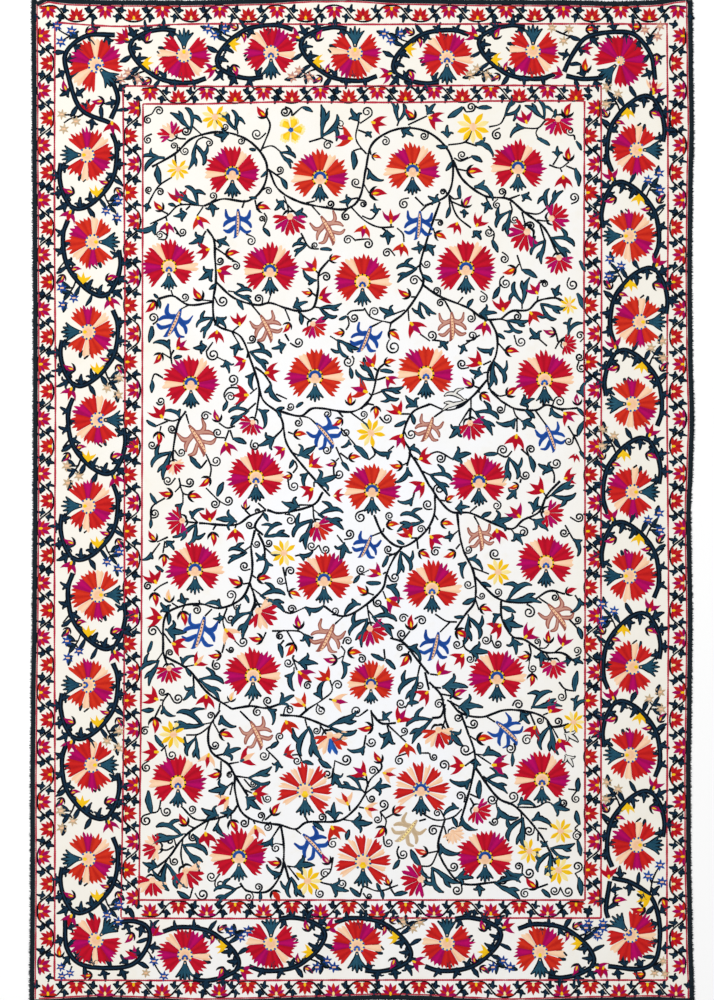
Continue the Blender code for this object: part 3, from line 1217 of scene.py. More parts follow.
# %% The second band of the field
VINES += """
215 258 216 281 213 304 217 325 240 336 251 361 259 388 257 410
216 282 234 298 256 305 270 303 285 308
213 302 189 305 173 296 158 299
255 367 264 374 271 384
285 308 299 311 313 308 318 290 319 273 329 260
391 323 407 310 423 284 420 268 422 256
423 285 439 296 468 308 484 319 501 319
361 409 372 395 378 371 384 364
501 319 512 311 528 310 538 301 555 298 565 303
490 320 497 336 496 355 488 372 490 389 501 401
487 380 472 397 456 408
"""
STALKS += """
232 332 239 344
228 291 235 292
251 304 260 315
268 303 272 291
213 301 202 300
173 296 171 290
189 305 181 309
232 332 239 326
213 342 206 352
217 357 225 361
172 364 171 356 174 350
171 357 170 349
172 359 162 353
163 378 155 374 152 380
228 258 237 262
247 358 248 352
276 394 287 399
250 394 257 388
239 388 229 388 224 395 228 403
285 309 290 321
298 312 312 322
298 312 301 314
314 307 320 308
320 275 316 271
316 296 312 293
347 315 352 311 364 310
364 308 372 318 391 323
347 316 349 324 346 330
383 321 371 327
391 323 389 332
405 310 394 314
408 309 409 321
420 334 430 341
416 297 411 297
420 265 415 269
330 336 338 341
352 356 354 359
350 366 350 369
285 334 289 341
376 382 368 374
378 371 374 368
377 380 386 377
372 395 383 391
372 396 369 393
537 302 538 296
522 309 522 303
504 276 500 280 500 287
517 255 522 270
519 264 516 268
555 349 560 341 567 336
562 340 569 343
558 342 556 333
547 346 539 339
501 319 507 321
514 335 515 339
498 343 505 351
485 319 485 322
480 335 470 341 463 346
479 314 483 315
457 304 463 297
445 301 451 312
432 340 440 341
483 365 491 361
483 373 488 372
492 391 499 396 506 395
479 388 474 386
479 387 479 393
471 398 471 408
467 399 464 400
543 401 543 407
538 284 545 280
"""
TENDRILS += """
214.5 297 222.5 301 5.5
181 301 185 297.2 4
152.8 324.5 153.3 317.8 5
247 343 252 339 4
206.5 352 213 354.5 6
156.5 402 160.7 401 4.3
214.5 263 220 261 3.8
232 261 236 266 -4
230.5 385.5 233 379.5 5.5
225 397 230.5 396.7 -4.5
262 304 258.5 298.7 4.3
319 276 326 277 -4.5
348 316 354 317.8 4.5
370 315.5 374.5 311.7 -4.5
389.5 339.5 393.5 347 7
422.5 282 414.5 280.5 5
421 263 426.7 264 4
354 358 348.3 361.7 -5.2
290 343 298.3 342.2 5
288 408 290.5 406.5 4
516 311 517.2 316.7 -4
500.5 284 505.5 283.3 4.8
502 252 504.2 259 -4.4
569.5 277.5 572.5 284.5 5.6
580 342 580 335.5 4.4
583.5 350 579.5 357 -4.2
579 361.5 581.5 368 4.6
515 338 521 341.7 5
466 341 472.2 335.5 4.5
472.8 311 471 318.3 -4.3
480.5 291 483 298.3 -4.5
440 296.5 436.7 291 3.8
445 301 440.5 303 3.8
432 340.5 431.7 335.5 5
469 367.5 462 364 -4.8
552 406.5 559.5 401.5 -5.3
540 281 544.5 284 -3.4
"""
LEAVES += """
ivy 239 343 245 14 -1
split 234 292.5 -5 19 -1
lens 236.5 299 -58 13
lens 216 284 218 9
lens 158 298 135 6
lens 158 299 -78 10
lens 152 326 -100 17
split 213 317 220 21
ivy 216 317 -40 15
ivy 225 360 -65 14
ivy 207 346 195 14
horn 170 349 135 16 -1
lens 173.5 358.5 15 9
lens 152 380 -92 13
ivy 213 269 225 18
split 250 351 -25 24 -1
horn 271 384 -85 18 -1
horn 254 373 245 16 -1
ivy 286 344 205 15
ivy 293 308 30 16
lens 300.5 313 -85 12
split 319 308.5 -14 21
horn 317 280.5 165 16
lens 347 316 205 9
ivy 395 314 165 17
split 419 302 -62 19
split 417 268 190 22
lens 422 275 -35 13
split 337 340 -48 22
lens 350 368 -80 11
split 374 381 140 23 -1
lens 380 370.5 -8 14
split 381 391 -15 21
ivy 418 407 145 17
lens 296 407.5 35 9
ivy 555 297 75 13
split 540 304 -35 24
split 522 304 100 25 -1
lens 499.5 287 240 14
lens 521.5 269.5 -28 18
lens 579.5 260.5 -65 13
lens 577 293 -68 18
fork 568 336 65 18
ivy 540 339 140 15
split 506 321 -25 21
lens 497.5 334 -35 9
horn 494 347.5 205 15
ivy 464 344 -105 11
lens 467 308 55 11
ivy 479 314.5 12 18
ivy 440 341 -45 12
ivy 483 374 170 14
split 494 361 -75 26 -1
ivy 520 405 30 16
horn 584 397 100 16
"""
# Leaves that were outlined and never filled
BARE_LEAVES = """
split 466 400 178 24
"""
TULIPS += """
217 330 -95 13 rry
240 326 100 13 rry
176.5 349.5 40 13 mry
217 270 -20 15 mry
246 360 205 13 mry
264.5 373 5 15 rry
249 395 180 16 rry
316 271 135 14 moy
318.5 298.5 20 14 mry
410 322 -50 16 mry
374 367 125 14 moy
386 377 -40 12 rmy
368 392.5 160 17 moy
538 294.5 125 13 rmy
529.5 311.5 -50 14 ory
503.5 312 100 15 rry
485 321.5 -100 14 rmy
482 364.5 150 15 rry
"""
BUDS += """
202 299.5 130 14 ry
155 301 235 14 ry
161 353.5 240 12 ry
289.5 323 240 11 ry
330 260.5 25 11 oy
312 293 175 10 oy
344 332 190 10 oy
389 331.5 -35 13 oy
410 296 155 13 ry
384.5 363.5 20 11 oy
350.5 405 92 12 oy
515.5 268.3 205 13 oy
555.5 332.8 172 12 ms
505.5 351 0 13 ry
507 395.5 40 13 ry
473 386 145 13 my
480.5 394 -35 12 ry
"""

# %% The third band of the field
VINES += """
257 378 263 400 278 413 283 427 275 437
276 410 300 416 315 408 350 412 369 403
186 411 178 424 173 452 174 465
266 510 250 516 234 525 199 523
267 510 282 513 313 505 323 492
264 512 255 526 263 535
255 530 251 546
258 533 264 546 265 561
430 404 412 413 403 436 410 451 407 466
409 452 418 465 430 487
374 515 384 536 402 547 424 533 434 515 435 495
283 423 287 444 303 466 330 496
501 401 516 409 536 410 547 405 560 409 578 408
560 481 547 495 539 512 523 520 511 529 488 521 470 513 452 512 440 501 430 486
457 512 460 537 464 552
471 408 470 416 471 425
"""
STALKS += """
257 410 254 422
256 403 247 411
219 423 227 428 235 426
230 430 233 439
229 430 225 441
186 414 189 424
181 418 173 421 164 419
168 421 156 426
161 426 160 431
179 478 180 486 175 492
180 485 183 493 188 495
183 493 183 503
165 498 152 507 151 521
198 523 180 521
198 523 192 517
216 525 213 530
237 523 235 528
245 510 250 515
258 503 266 510
265 548 273 555
251 546 240 554
168 537 157 542
165 541 163 553
160 543 151 555
207 460 201 468
206 454 211 467 210 477
206 488 213 495 220 502
300 416 309 418 316 424
337 410 343 417
350 412 365 423
369 404 374 405
400 414 410 414
394 446 388 451
414 457 418 460
422 471 432 476
407 463 403 465
415 490 413 498
383 532 384 528
382 532 372 536
411 538 417 538
402 548 394 555
417 539 418 549
288 432 293 434
291 452 298 455
295 461 297 467 293 473
288 478 288 482
314 482 314 487
313 506 314 518 318 527
314 510 319 514
313 505 299 505
337 535 344 544
336 447 343 463
340 453 348 459
339 458 336 461
341 428 356 446
369 460 375 454 372 446
430 404 446 410 460 407 469 400
444 410 434 417
470 408 459 425
471 408 475 412
513 408 516 416 522 421
517 418 517 432
535 410 546 425
559 408 563 411
568 426 577 442 584 459
573 435 578 436
554 483 554 474 549 464
546 499 551 495
546 496 543 492
532 514 535 509
539 512 550 512
565 525 573 539
527 517 538 522
511 529 517 537
521 479 520 483
497 453 506 457 512 451
521 449 529 456
430 454 439 452 452 459
440 500 445 501
477 506 470 512
474 516 479 525
459 530 453 535
460 544 456 549
434 514 438 520
430 527 429 534
"""
TENDRILS += """
211.5 414.5 205.5 416 4.4
252.3 439.5 255 445.5 4.6
225 437.8 217.8 432.8 -4.6
157.8 444 152.3 445 -4.3
175.3 433 172 429 -4
174.5 450 181.3 452.3 4.2
175.5 478 167.8 480.5 -4.6
180.5 485 189.5 482.2 4.6
150.3 518 154.5 513.3 4.4
260 512.8 257.2 511.2 2.6
255 527 249.5 525 -3.6
252 543 256.7 544 3.7
263.5 545 268.7 543 3.7
210 464 216 461 5
219.5 501.3 228.3 500.5 4.8
219.5 500 215 503.8 -4.4
299.5 417.5 298.3 422.8 -4
329.5 409.5 327.3 414 -3.8
361.7 420 363.7 414.5 3.8
379.5 416.7 387.2 418.3 5
404.5 431.7 411 434 5
432.5 509 427.8 504.5 -5
365 510 360.5 517.2 5.5
391.7 520.5 389.5 516 -4.2
426 532 421 529.2 4
394.5 554.5 388.3 549.5 -4.2
288 479 294 486 5
284.5 514 290.5 520 -5
344 539.5 349.5 534 4.8
318.5 545 311.7 546 -4.6
318.8 545 325.5 549.5 4.4
333.5 466 339 474 5
330.3 446 326.7 450 -4.3
341 428 346 432.2 4
505.5 404 500.5 409.5 -4
573.3 436.7 568.7 441 -4.2
551 466.7 556 463.3 5
570 517 579 517.2 4.6
568.5 533 564 532.8 -4.4
519 526 523.3 532.2 -4.8
496.5 500.5 496.7 505.5 -4.6
519 474.5 525.5 475 4.4
497.5 453 502.8 450 -4.8
529 456 531 449.5 -4.4
445 455.5 440.5 458.3 -4.6
434 494 439 489 -5.3
463.3 551 468.3 549.5 4
440.5 548 435.5 551.7 4.6
500 559 494.8 553.8 -5.3
"""
LEAVES += """
split 249 410 195 22
horn 258.5 409 -50 18
ivy 275 437 215 19
lens 276 410 15 9
lens 277 410 -65 9
lens 227.5 401 245 11
lens 232.5 438.5 -20 15
lens 156.5 426.5 148 12
horn 180 418 130 15 -1
split 171 451 228 27
horn 183 503 240 14 -1
lens 157 504 122 13
lens 151 519.5 -95 9
horn 192 519 65 14
split 197 524 235 25 -1
ivy 237 522 165 21 -1
split 264 536 25 23 -1
lens 263.3 513 -60 10
lens 272 554.5 -5 8
split 247 552 185 20
ivy 166 541 -40 12
lens 201 468.5 132 17
lens 217 496.5 65 16
lens 363.5 422 -52 9
lens 406 421 205 13
lens 411.5 414 -75 11
horn 392 451 200 16
horn 408 449 -5 14
split 430 474 -25 25 -1
horn 407.5 467 -105 18
horn 413 498 215 14
lens 404.5 544.5 150 9
split 424 521 175 26
ivy 297 455.5 20 21 -1
lens 293.5 459.5 245 10
horn 308 473 235 14 -1
ivy 314 481.5 8 24 -1
ivy 300 506.5 172 19
split 318 514 -5 27 -1
split 312 519 232 28
ivy 344 542 -95 19
lens 341.5 462 -50 12
horn 349 439.5 -110 10
lens 354 445 -45 21
ivy 460 425 238 17
split 475 411 -28 27 -1
ivy 521 421 -20 16
horn 516 418.5 215 18
lens 525 410 -40 13
horn 551 407.5 -60 15 -1
lens 577.5 408.5 -50 10
lens 579.5 451 -55 10
lens 578 435.5 68 16
ivy 553 470 165 16
split 551 496 15 27
ivy 534 512 80 16
horn 573 539 -50 16
ivy 533 519.5 -30 19
ivy 513.5 533 -45 15
ivy 492 522 8 23 -1
lens 481 518 30 12
ivy 516 489 -125 14
split 509.5 457 -80 25 -1
lens 497.5 453.5 183 14
lens 529.5 456 -75 17
ivy 452 459.5 25 20
ivy 455 509 15 15
ivy 454 535 200 11
"""
TULIPS += """
225.3 442 -70 14 rmy
163 418.5 125 15 rry
210.5 522 105 14 rry
235 528.5 -85 14 rry
401 414.5 130 14 ory
402 434 -115 14 mry
418.5 459.5 20 14 rry
424.5 482.5 220 15 mry
411.5 537.5 130 14 ory
333 496 5 11 rrs
285 448 215 12 rmy
309 467 40 14 moy
313.5 488 215 14 rry
516.7 434 -100 16 rry
563.5 412 -45 14 mry
575.5 453 -100 9 rri
563.5 479 20 13 rry
544 492.5 145 16 rry
520.5 518 130 15 rmy
429.5 535.5 -40 15 mry
496.5 528.5 -80 15 mry
"""
BUDS += """
219 421.5 115 12 my
158.7 432 -88 13 ry
172.5 493.8 178 13 ry
188.3 496 -3 13 ry
212.3 532.5 -80 13 ry
245.5 509.5 88 10 my
156 541 130 12 ry
164 554.5 -90 12 ry
209.5 477.8 225 13 ry
342 419 220 11 ry
375.5 406.5 -88 12 oy
402.3 466 178 12 oy
386.7 525.5 10 12 oy
419 552 -25 12 ry
294 435 8 12 oy
292 475 195 10 ry
349 458.3 12 11 oy
336 462.8 195 10 my
578 405 100 11 mi
518.3 485 200 10 oy
446 501 35 10 oy
441 523.3 -2 12 oy
455 551.7 210 12 oy
"""

# %% The fourth band of the field
VINES += """
251 546 252 572 243 597 221 608 201 604 182 606 165 617 163 652
163 652 169 671
166 657 189 670 207 692 232 709
250 583 255 600 251 613
232 709 251 706 266 708 280 704
324 606 340 616 357 611 381 591 387 573 394 558 402 547
390 638 404 643 416 658 429 674
425 672 429 690
464 552 474 574 475 600 465 615 455 630
474 576 499 599 528 602 549 591 565 594
501 601 502 619 512 636 525 640 544 652 562 653 574 661
429 682 441 695 444 710
"""
STALKS += """
168 582 160 586 154 591
163 652 156 662
184 667 194 665
193 673 194 686
224 703 229 702
220 703 219 710
178 607 172 603
185 605 182 610
163 632 171 643
212 609 205 616
199 600 200 604
249 583 243 584
252 575 256 578
252 588 261 595
253 594 262 611
266 632 263 639
227 608 223 620 225 630
225 642 222 653
284 640 279 646
160 700 163 700
169 693 163 702 163 710
253 698 249 705
295 556 299 555
283 567 288 592
285 612 292 613 306 607
344 616 335 624
367 603 369 617 373 631
368 610 373 616
374 595 368 593
383 591 386 599
396 553 389 556
386 572 383 574
369 570 359 575
272 631 297 631 306 636
297 631 299 629
287 631 294 643
294 655 293 659 299 663
293 659 297 670
294 667 294 673
330 680 332 691 322 700 308 709
305 706 306 710
329 699 333 700
317 704 324 710
341 646 345 651
345 651 342 662
343 656 338 659
384 649 385 659
402 641 410 631
405 645 409 649
409 651 408 654
420 665 417 679
405 708 410 701
471 567 489 574
539 598 548 604
575 595 579 602
569 619 578 629
475 598 479 610
468 614 471 628
457 622 446 621 435 614
450 622 440 632
463 640 465 648 472 653
491 635 491 640
512 637 512 642
539 648 545 648 549 644
555 652 562 647
529 644 531 653 529 662
545 652 552 662
559 682 565 689 574 691
532 672 532 675
430 674 438 675
432 687 441 688
441 694 452 696
447 700 460 707
531 709 534 704
"""
TENDRILS += """
152 583 148 586 4
162 634.5 153 631 5.5
192.8 605.5 196.7 610 -4.4
232.2 604 231 595 5
233.3 604 237.5 607.2 3.2
250.5 569 244.5 566 -4.6
224.5 616.7 230.5 619 4.4
234.5 640.5 242.8 641.7 5
226 649 231 649.5 3
213.9 660 216.7 665.5 4.4
166 656.7 169.8 652.8 -3.4
284.5 630 280 636 3.6
168.3 693.3 162.2 691.7 -3.6
169.5 694 177.8 698.3 5.2
268.5 707 267.8 701 -4.4
286 576 290.5 571 -4.4
285.5 583 280.5 580.5 -3.7
296 610 291.7 609 4.2
331.7 614.5 335 611 4
373.3 596.7 377.8 602.8 4.2
387.8 575 394.5 577.2 5
365 575 361 569.5 -4.6
293.3 663.3 288.3 662.8 -4.5
332.2 686 337.8 685 -4.7
311.7 682.2 307.8 685.5 4
342.8 644 348 641 -4.2
359 655 361.7 659 -4.4
402.8 640.5 401.7 634 -4.4
408.3 616.7 403.3 618.3 4.4
414.5 619 421.7 620.5 -4.6
405 644.5 400 647.8 3.5
415.5 682 420 685 4
405 706 401 703.3 -4.8
474.5 586 468.3 584.5 -4.2
476 596 481.7 595.8 3.4
495.5 596.7 498 592.2 4.2
526.5 604 529 612.2 -5.8
556 592.2 555 597.2 -3.8
574.5 624 577.8 620 3.6
463.5 646 457.2 644.5 -4.2
472.5 654 470 659 -4
491 640 486 640 -4.4
491.7 640 497.8 644 4.2
539.5 646.7 537.2 641.7 3.2
575.5 656 577.2 650.5 4.2
565 690 561.7 696.7 -4.4
529.5 662 532.8 668.3 4.2
444.5 700 439 704 4.4
512.5 706 518.3 704.5 -4.8
"""
LEAVES += """
horn 151.5 552 240 12
lens 163.5 571.5 145 10
split 159 660 222 25
horn 182 665 60 14
lens 186 668 -60 10
ivy 194 686 240 18
split 199 678.5 -20 27 -1
ivy 185 604.5 115 12
ivy 169.5 612 140 13
lens 169 613 -92 12
ivy 165 629 -15 22 -1
lens 152 641 250 13
horn 221 607.5 145 15 -1
lens 245 595 -65 9
split 252 611 225 27
horn 265.5 559 -85 17
ivy 265 560 150 12
split 260 595 -8 27 -1
ivy 224 617 195 11
lens 278.5 643.5 -75 15
ivy 279 705 40 18
horn 299 554.5 -10 13 -1
horn 305 607 -20 17 -1
horn 361 604.5 190 18 -1
split 372 616 -20 27 -1
split 367.5 618 232 27
lens 381 583 178 15
horn 386 586 -30 19
lens 388 555.5 245 13
lens 359.5 575.5 230 10
split 401.5 551 -75 23 -1
ivy 304 634 -60 14
ivy 298 663 5 20
horn 294 672 245 17 -1
horn 322 699 105 17
horn 341.7 661 -65 16
lens 384.5 660 155 15
lens 385.5 659.5 -45 14
horn 408 647 -25 17
split 418 676 232 28
lens 407 703.5 5 12
horn 468 559 -15 17
horn 466.5 562 235 15 -1
lens 481 583 -20 11
split 506 600 22 32 -1
horn 579 598 -95 15
lens 577.5 627 -70 13
lens 475 598 205 14
split 469 616 -75 27 -1
lens 464 616.5 182 10
ivy 469 652 5 21
ivy 573 659.5 -15 11
ivy 571 660 200 10
lens 502 607 -22 15
horn 501 614 220 14 -1
ivy 503 620 -25 21 -1
ivy 512.5 638 -70 17
ivy 541 651 -85 16
lens 574.5 691.5 82 21
ivy 442 687.5 8 26
ivy 458 707.5 8 25
split 531 707 28 28 -1
fork 574 711 60 16
"""
TULIPS += """
156.5 584 115 15 rry
162.5 617.5 180 16 rry
171.5 643 -20 15 rry
194.5 665.5 45 13 pry
206.5 694 -95 15 rry
224.5 628.5 -50 16 rpy
158.5 700 155 15 rry
386.5 598.5 -35 16 omy
381 575 150 13 omy
298 671 -40 16 omy
329.5 680.5 135 14 ooy
305.5 706.5 135 14 poy
332 700 -12 15 mpy
428.5 691 225 14 rry
464 654 225 14 rry
501.5 624 220 15 rry
524 638.5 45 15 rmy
562.3 646.5 75 13 rmy
438 675 55 14 rmy
"""
BUDS += """
153.5 593 -75 13 ry
170 602 100 12 py
181.7 611.5 -72 14 ry
242 584 160 14 ry
257.5 579 8 13 ry
262.5 639 178 13 ry
221 655 185 12 ry
230.5 701.5 75 10 py
289 592 -18 12 oy
367.5 593 150 12 oy
300 628.5 105 13 my
293.5 643.5 245 14 oy
348 653 5 13 oy
337 660 178 13 ms
411.7 629.5 95 14 ry
408.5 654.5 240 14 ry
566 593.5 30 11 rr
480 608 -12 12 ry
456 631 -28 14 ry
549 643 95 12 ry
530 655.5 190 12 ry
532.5 674 -95 12 ry
453.5 696.5 30 14 my
"""

# %% The fifth band of the field
VINES += """
220 710 209 729 211 751 228 764 235 776
235 776 235 790 241 811 256 821 281 825
235 776 248 796
181 806 198 820 228 815 238 805
211 818 186 835 169 857 157 867
281 825 284 850 281 873 268 891 248 891 240 883
280 715 302 717 329 727
308 709 300 716
366 793 355 809 338 821 308 822 296 829 281 825
283 858 290 883
371 712 381 723 396 723
445 704 441 716 432 718
445 708 445 718 450 732
450 701 461 713 482 717 505 710 530 712 545 718 553 727 569 724
461 714 468 733 475 755 472 780 467 799 461 820
475 767 497 797 516 807 540 834 556 864
445 819 438 847 448 870 464 884 496 882
"""
STALKS += """
161 705 155 717
214 722 200 725
211 725 199 734 186 735
197 734 195 738
213 722 219 733
214 756 224 754
228 764 239 762
221 761 221 772
235 776 250 778
245 790 252 793
233 782 227 787
233 782 230 795
194 828 188 825
186 834 182 834
209 820 205 830
220 817 217 825
231 812 231 820
253 820 255 824
265 820 272 814
280 826 272 838
283 868 281 873
174 846 167 850 159 849
183 838 181 854 184 869
169 857 157 877
166 860 165 866
242 886 233 890
193 887 190 898
161 751 167 745
161 800 158 811 150 813
240 711 251 722
266 749 278 761
266 749 278 743
320 725 327 735
305 719 308 730
292 755 299 755 302 761
335 760 333 774
305 816 308 822
365 793 370 780 381 769 381 762
368 787 366 775
365 793 360 788
366 793 374 787
350 811 349 805
359 807 364 808
335 821 336 818
341 819 352 821
295 829 301 834
287 866 295 867
288 866 299 880
333 857 330 872 320 881 332 885
362 888 360 896
364 886 379 891 398 885
390 889 390 885
391 889 395 895
371 710 373 726
378 720 383 720
387 725 389 732
388 725 406 742
366 735 364 746
420 753 429 753
420 812 436 820 453 817 462 809
419 821 426 819
399 846 397 852 399 859
438 851 431 865 419 866
438 851 428 853
380 812 386 820 385 827
386 818 393 814
445 720 441 732
543 715 548 713
470 736 476 740
475 754 483 755
476 754 491 764
474 759 465 766
483 776 487 779
470 794 479 798
496 800 497 808
517 807 536 807 547 802 555 806
470 798 474 805
487 717 495 722
444 826 448 841
531 890 548 884
538 832 538 841
538 828 547 829
521 812 522 820
547 721 549 728
552 727 558 738
564 727 566 734
530 713 535 725
514 743 515 749 512 755
568 789 577 790
578 825 575 829 581 834 577 841
575 873 578 878
"""
TENDRILS += """
149 727 145 731 4
213.5 722 210.7 715.7 3.8
208.5 744 215 745 4.4
165 748 171.7 755 5
149.5 760.5 146.5 767.5 4.6
232.5 772 229.7 775 3
244 779 252.8 783.6 3.6
262 794 267.7 798.6 4
188 814.5 192 809.3 4
248.6 818.6 244.3 823 -4.2
262 821 261 815.7 3.8
270 821.5 267.6 827 -4
283.3 845 276 848 4.6
176 845.5 170.5 840.7 4
190 832.5 193 837.3 4
170 858 174.5 861.4 4
150 813.5 146.2 820.5 5.5
160.5 807.5 166.5 811.5 4.8
259 892 258.3 887 4
251 892 249 897 -4.6
220 873.5 211.5 876.5 -5
216 878.5 220 884.5 5.2
195 893 202.5 894.3 5.8
269 752.5 264 755.7 -4.8
278.5 742.5 280 736.5 -4
262 707.5 257.5 712 4.6
283.5 715 289.3 710 -4.6
318 704 321 710 5
320.5 726.5 316.5 730.7 -3.6
299 755.5 297 760.7 -4.2
335.5 761 346 759.5 5.6
333 768 327.6 774 -4.6
379 773 373 770.5 4.4
366 795.5 371.5 798.6 3.8
325 822.5 322 817.3 4
337 838 332.7 843.5 4.8
317.5 887 320 893.5 4.4
330.5 869 325 873.5 4.4
334 887 342 883.5 4.4
363 893 369 896 3
368 709.5 356.5 711 -5.6
401 736 404 731 3.8
408 753 399.5 760.5 4.6
366.4 743 371.5 742 4.8
380 812 383.5 804.5 5
381 813 377.5 819.3 -4
383.5 836 388.7 842.5 4.6
397 852 403 854 5
461.5 714 458 717.5 -4.4
465.5 726 473.5 723.5 4.6
474.5 751 465.5 749.5 -5.6
464 802.5 460.5 796 4.6
498 797.5 492 799.5 -5
508 804 513 796.5 5.2
559 808 563 803 4
489 821.5 494.5 821.4 4
445 819 437.5 813 4
443 827 433.5 830.5 5
448.5 869.5 453.5 866.5 4.6
461 883 457 890 -5
495 883 503 879.5 4.2
522 873.5 518.5 866.5 4
523 874 529 872.8 5.4
528 888.5 525 893.5 4.6
560 888 554.5 890.5 -4.6
560 887 568 891.5 5.2
534.5 825 529 830.5 -5
543 716.5 540 720.5 -3.4
553 726.5 558 721.5 4.4
533 736 527 740 5
514.5 744 510.5 748.5 -5
577 790.5 576 798.8 4.2
577.5 829 577 836 4.2
575 873.5 577.5 866.5 5
429.5 753 434 757 3.6
448 770 444 765 5
"""
LEAVES += """
lens 154 709.5 183 13
horn 163.5 706 -65 14 -1
split 204 724.5 165 32
split 195.5 737 -105 22
horn 221 715 -62 17 -1
ivy 223 755 28 19
split 248 778.5 0 24
ivy 246 796 -50 20 -1
ivy 228 786.5 200 20
ivy 219 815.5 165 19
ivy 233 811 195 13
split 183 834.5 172 30
horn 217.5 823 -78 15 -1
horn 273 837.5 225 16
horn 282 873.5 175 16
lens 260.5 892 -95 10
split 236 888.5 195 24
split 182.5 844 -32 29 -1
ivy 158 866.5 172 16
split 165.5 863 -75 30
lens 190 898.5 150 15
lens 163.5 747 125 15
lens 151.5 813 98 23
ivy 278 760.5 -95 12
lens 270.5 748.5 40 11
horn 268 708.5 -50 15
split 328 727 2 31
split 308.5 726 -95 33
lens 302 761.5 -15 12
lens 331.5 768 146 16
ivy 333.5 773 -65 18 -1
split 362 790 146 22
ivy 373 788 12 18
ivy 335.5 820 102 18
lens 313 822.5 -38 14
ivy 351.5 821 -12 21 -1
lens 346.5 840 75 11
ivy 294 867 12 21
split 290.5 877 -82 22
ivy 330 884 -28 20 -1
lens 360.5 896.5 140 14
lens 380.5 891 115 9
lens 381 889.5 -78 10
lens 394 895 10 14
ivy 382.5 720.5 50 13
ivy 389.5 731 -108 20
horn 365 746 215 16
split 432 718.5 205 29
lens 420.5 754.5 100 12
lens 399.5 859.5 -125 12
lens 420.5 866.5 120 20
horn 421.5 867 -75 13 -1
ivy 450 730 -58 21 -1
horn 482.5 755.5 14 19
ivy 475.5 758.5 -90 12
split 485.5 778.5 -8 24 -1
horn 471 779 207 19
lens 479.5 799 90 19
horn 497.5 807 -52 21 -1
horn 517.5 805.5 22 16
ivy 551.5 804 -25 19 -1
horn 459 808.5 180 15 -1
lens 452.5 817.5 -65 11
horn 462 817 -65 18 -1
horn 439.5 843.5 -50 20 -1
ivy 455.5 878 8 18
ivy 478 884.5 -75 12
split 494.5 882.5 -8 28 -1
horn 523.5 874 185 17
lens 541.5 889.5 -42 12
split 550 851 -112 26
ivy 547.5 846 150 9
split 550 848.5 -15 23
horn 531.5 820.5 8 19
split 522.5 817 -112 30
ivy 521 711.5 -62 15 -1
split 549.5 725 -100 28
lens 512.5 753.5 -92 13
lens 578 791.5 88 14
lens 579.5 825 103 15
lens 577.5 840.5 -78 16
lens 578.5 877 -82 19
split 431 867.5 -55 30
"""
BARE_LEAVES += """
ivy 564 733 -25 17
ivy 565 754.5 -50 15
"""
TULIPS += """
209 753 -102 14 rpy
240 761.5 28 16 pre
159 752 178 16 rry
252.5 793.5 -5 15 rry
229 797 215 14 rpy
205.3 831.5 -80 16 rry
255 825 -80 14 rpy
285.5 720 -68 15 ooy
283.5 755 22 12 ore
366.5 775.5 145 15 mry
382.5 772.5 -15 13 rpy
348.5 805.5 115 14 opy
364.5 808 -12 13 rpy
331 825.5 -58 16 ooy
397.5 722.5 55 15 mry
406 743 -82 14 ooy
549 713 55 14 mry
491.5 765 0 17 rmy
464.5 765.5 180 15 rry
558.5 738.5 -65 15 mry
535.5 725.5 -112 14 rry
"""
BUDS += """
154 717.5 -82 15 ry
219.5 733.5 -12 14 ry
221 773 195 13 ry
187 825 128 13 ry
230.5 820.5 -60 14 ry
273 815 65 13 ry
281 863 177 13 ry
272.5 891 -55 13 oo
381.5 762 130 12 ry
329.5 863.5 130 12 mp
389.5 885 112 10 ry
372.5 727 190 14 ry
427.5 853 165 13 op
393.5 813.5 35 13 op
384.5 827 232 14 ry
477 739.5 8 15 oy
536.5 888 140 14 ry
"""

# %% [markdown]
# ## The great flowers
# The rosettes stand in offset rows, all with the calyx downward. Between them lie peppers, yellow
# flowers and small fans. Each rosette's line gives its place, the aim of its calyx, its radius, the
# fan and main dye, what fills its heart, and whether its fan is turned over.

# %% Rosettes, fans, peppers and yellow flowers of the field
ROSETTES = """
232.5 174 270 28.5 field r arc
320 178 270 29 field o arc
412.5 171 270 28.5 field o arc
518 168 270 28.5 field r arc
169 267 270 28 field r flower -1
270 271 270 28.5 field r arc
362.5 282 270 29 field c flower -1
466 269 270 30 twin r arc
191 384 270 29 field r arc
315 377 270 29.5 field o arc -1
426 374 270 29.5 field o flower
544.5 380 270 29.5 field r flower -1
256 478 270 29 field r flower -1
372 491 270 28.5 field o arc
479 482 270 28.5 field r arc -1
195 570 270 29 field r arc -1
324 580 270 29 field c arc -1
432 589 270 29 field c flower -1
546 563 270 29 field r flower -1
253 676 270 29 field r flower -1
371 684 270 24 field o arc
497 678 270 29 field r arc -1
178 783 270 29 field r flower
305 791 270 28.5 striped c sun
421 790 270 28.5 striped c arc
542 780 270 29 field r flower
239 857 270 29 field r arc
363 862 270 28.5 striped c sun
485 858 270 29 field r arc -1
"""
HALF_ROSETTES = """
169 131 120 14 rmprm
290 224 -90 18 rmr
316.5 329 -55 15 rmo
558 126 -90 16 rmr
558 216 20 17 rmr
521 237 -140 19 rmr
559 264.5 -90 16 rmr
569.5 345 -10 12 rrr
249.5 427 -125 14 rmr
175.5 467.5 -65 11 rpr
176 523 200 16 rmr
321 530 -50 16 rmo
473 429.5 -65 17 rmr
553 515 -20 16 rmr
169 674.5 -90 15 rmr
265 615.5 -35 19 rpr
374.5 634 -50 17 rmo
553.5 669 -90 15 rmr
151.5 847.5 180 15 rpr
150.5 887 -105 17 rpr
189.5 877 -60 18 rpr
331 743 -80 19 opb
439 737.5 -85 18 opr
413 880 185 19 rmr
481 813 -35 15 rmr
455 836 -60 12 ppp
"""
